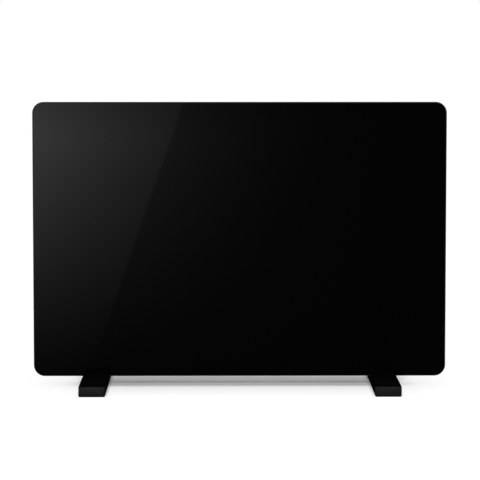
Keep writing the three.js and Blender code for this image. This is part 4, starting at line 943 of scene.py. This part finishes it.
def flat_ring(middle, half_width, half_height, line):
    """An inner and an outer ellipse, point by point, as quads that close on themselves."""
    angle = np.arange(ring_points) * full_turn / ring_points
    circle = np.stack((np.cos(angle), np.sin(angle)), axis=-1)
    inner = middle + circle * np.array([half_width - line, half_height - line])
    outer = middle + circle * np.array([half_width, half_height])
    following = (np.arange(ring_points) + 1) % ring_points
    return np.stack((inner, outer, outer[following], inner[following]), axis=1)


def surface_under(node, spots):
    """How far out (x) the node's surface lies at each (y, z) spot, found by looking along the width."""
    corners = [vertex.co for vertex in node.data.vertices]
    tree = BVHTree.FromPolygons(corners, [face.vertices for face in node.data.polygons])
    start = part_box(node.name)[1].x + ink_line
    inwards = Vector((-1, 0, 0))
    hits = [tree.ray_cast(Vector((start, y, z)), inwards)[0] for y, z in spots]
    return np.array([hit.x for hit in hits])


def print_marks(name, node, quads, body):
    """Flat quads of (y, z) corners, lifted off the node's surface and thickened back down to it."""
    spots = quads.reshape(-1, 2)
    out = surface_under(node, spots) + ink_thickness
    points = np.column_stack((out, spots))
    faces = np.arange(len(points)).reshape(-1, 4)
    piece = mesh_piece(name, points, faces)
    if face_vectors(piece, "normal")[:, 0].mean() < 0:
        piece.data.flip_normals()
    joined = piece.modifiers.new("joined_corners", "WELD")
    joined.merge_threshold = merge_gap
    film = piece.modifiers.new("ink_film", "SOLIDIFY")
    film.thickness = ink_thickness
    # The whole thickness goes inwards, down to the surface
    film.offset = -1
    piece.data.materials.append(white_ink)
    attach(piece, body)
    return piece


# %% [markdown]
# The dial turns clockwise from off, through three quarters of a turn. Each line of the scale stands
# on a ray from the dial's middle, and the lines grow wider towards the hot end, which tells more or
# less without a word. The pointer's own line is printed on the knob and turns with it.

# %% Dial scale, pointer line and switch marks
scale_lines = 10
scale_sweep = np.radians(270)
scale_gap = 0.8 * millimetre
scale_length = 1.5 * millimetre
narrow_line, wide_line = 0.3 * millimetre, 0.9 * millimetre
nought_rise = 23 * millimetre
nought_half_width, nought_half_height = 0.9 * millimetre, 1.3 * millimetre
nought_line = 0.35 * millimetre
pointer_inner, pointer_outer = 6.5 * millimetre, 13.5 * millimetre
switch_mark_offset = 6 * millimetre
switch_mark_size = 1.5 * millimetre

nodes = frame["nodes"]
knob_low, knob_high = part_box("thermostat_knob")
knob_middle = np.array([knob_low.y + knob_high.y, knob_low.z + knob_high.z]) / 2
knob_radius = (knob_high.z - knob_low.z) / 2
upright = np.array([[0.0, 1.0]])


def print_dial_scale():
    """Lines at even angles on one circle, clockwise from the top, and the nought above the first."""
    angle = np.linspace(0, scale_sweep, scale_lines)
    ray = np.stack((np.sin(angle), np.cos(angle)), axis=-1)
    reach = knob_radius + scale_gap + scale_length / 2
    half_width = np.linspace(narrow_line, wide_line, scale_lines) / 2
    lines = flat_bars(knob_middle + reach * ray, ray, scale_length / 2, half_width)
    nought_middle = knob_middle + np.array([0, nought_rise])
    nought = flat_ring(nought_middle, nought_half_width, nought_half_height, nought_line)
    return print_marks("dial_scale", nodes["control_panel"], np.concatenate((lines, nought)), "heater")


def print_pointer_line():
    """One bar along the pointer, from near the dial's middle to near its rim."""
    middle = knob_middle + np.array([[0, (pointer_inner + pointer_outer) / 2]])
    half_length = (pointer_outer - pointer_inner) / 2
    bar = flat_bars(middle, upright, half_length, np.array([ink_line]))
    return print_marks("pointer_line", nodes["thermostat_knob"], bar, "thermostat_dial")


def print_switch_marks(side, body):
    """A bar on the rocker's upper half and a ring on its lower half."""
    node = nodes["switch_rocker_" + side]
    low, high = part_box(node.name)
    middle = np.array([low.y + high.y, low.z + high.z]) / 2
    shift = np.array([0, switch_mark_offset])
    bar = flat_bars(middle[None] + shift, upright, switch_mark_size, np.array([ink_line / 2]))
    ring = flat_ring(middle - shift, switch_mark_size, switch_mark_size, ink_line)
    return print_marks("switch_marks_" + side, node, np.concatenate((bar, ring)), body)


printed = [print_dial_scale(), print_pointer_line()]
printed += [print_switch_marks(side, side + "_rocker") for side in ("upper", "lower")]
print("printed pieces:", [(piece.name, len(piece.data.polygons)) for piece in printed])

# %% [markdown]
# The model's own nodes keep their shapes, which were drawn to be made: folded sheet, drilled holes,
# lanced louvres. Each only needs the finish of its real material. The record already says which
# finish each node has, so the list below goes by those names and not by sixty separate pieces.

# %% Finishes of the model's nodes
finish_of_slot = {
    "black_glass": glass_face,
    "silicone": silicone_bead,
    "black_steel": powder_coat,
    "galvanised_steel": galvanised,
    "aluminium": extruded,
    "sheath_steel": heat_tinted,
    "white_ceramic": steatite,
    "zinc_steel": zinc_plate,
    "black_screw": blackened_zinc,
    "black_plastic": eroded_abs,
    "gloss_black_plastic": gloss_abs,
    "grey_plastic": grey_polyamide,
    "amber_lens": amber_lens,
    "brown_lead": brown_pvc,
    "black_lead": black_pvc,
    "blue_lead": blue_pvc,
    "foot_plastic": foot_nylon,
    "black_rubber": nitrile_rubber,
}


def dress_model(record, nodes):
    """Gives each node the finish that the record's slot of that node names."""
    slot_of_node = {part["node"]: part["material_slot"] for part in record["subparts"]}
    for name, node in nodes.items():
        finish = finish_of_slot[slot_of_node[name]]
        node.data.materials.clear()
        node.data.materials.append(finish)
    return slot_of_node


slots_used = dress_model(frame["record"], frame["nodes"])
print("nodes dressed:", len(slots_used), "with", len(set(slots_used.values())), "finishes")
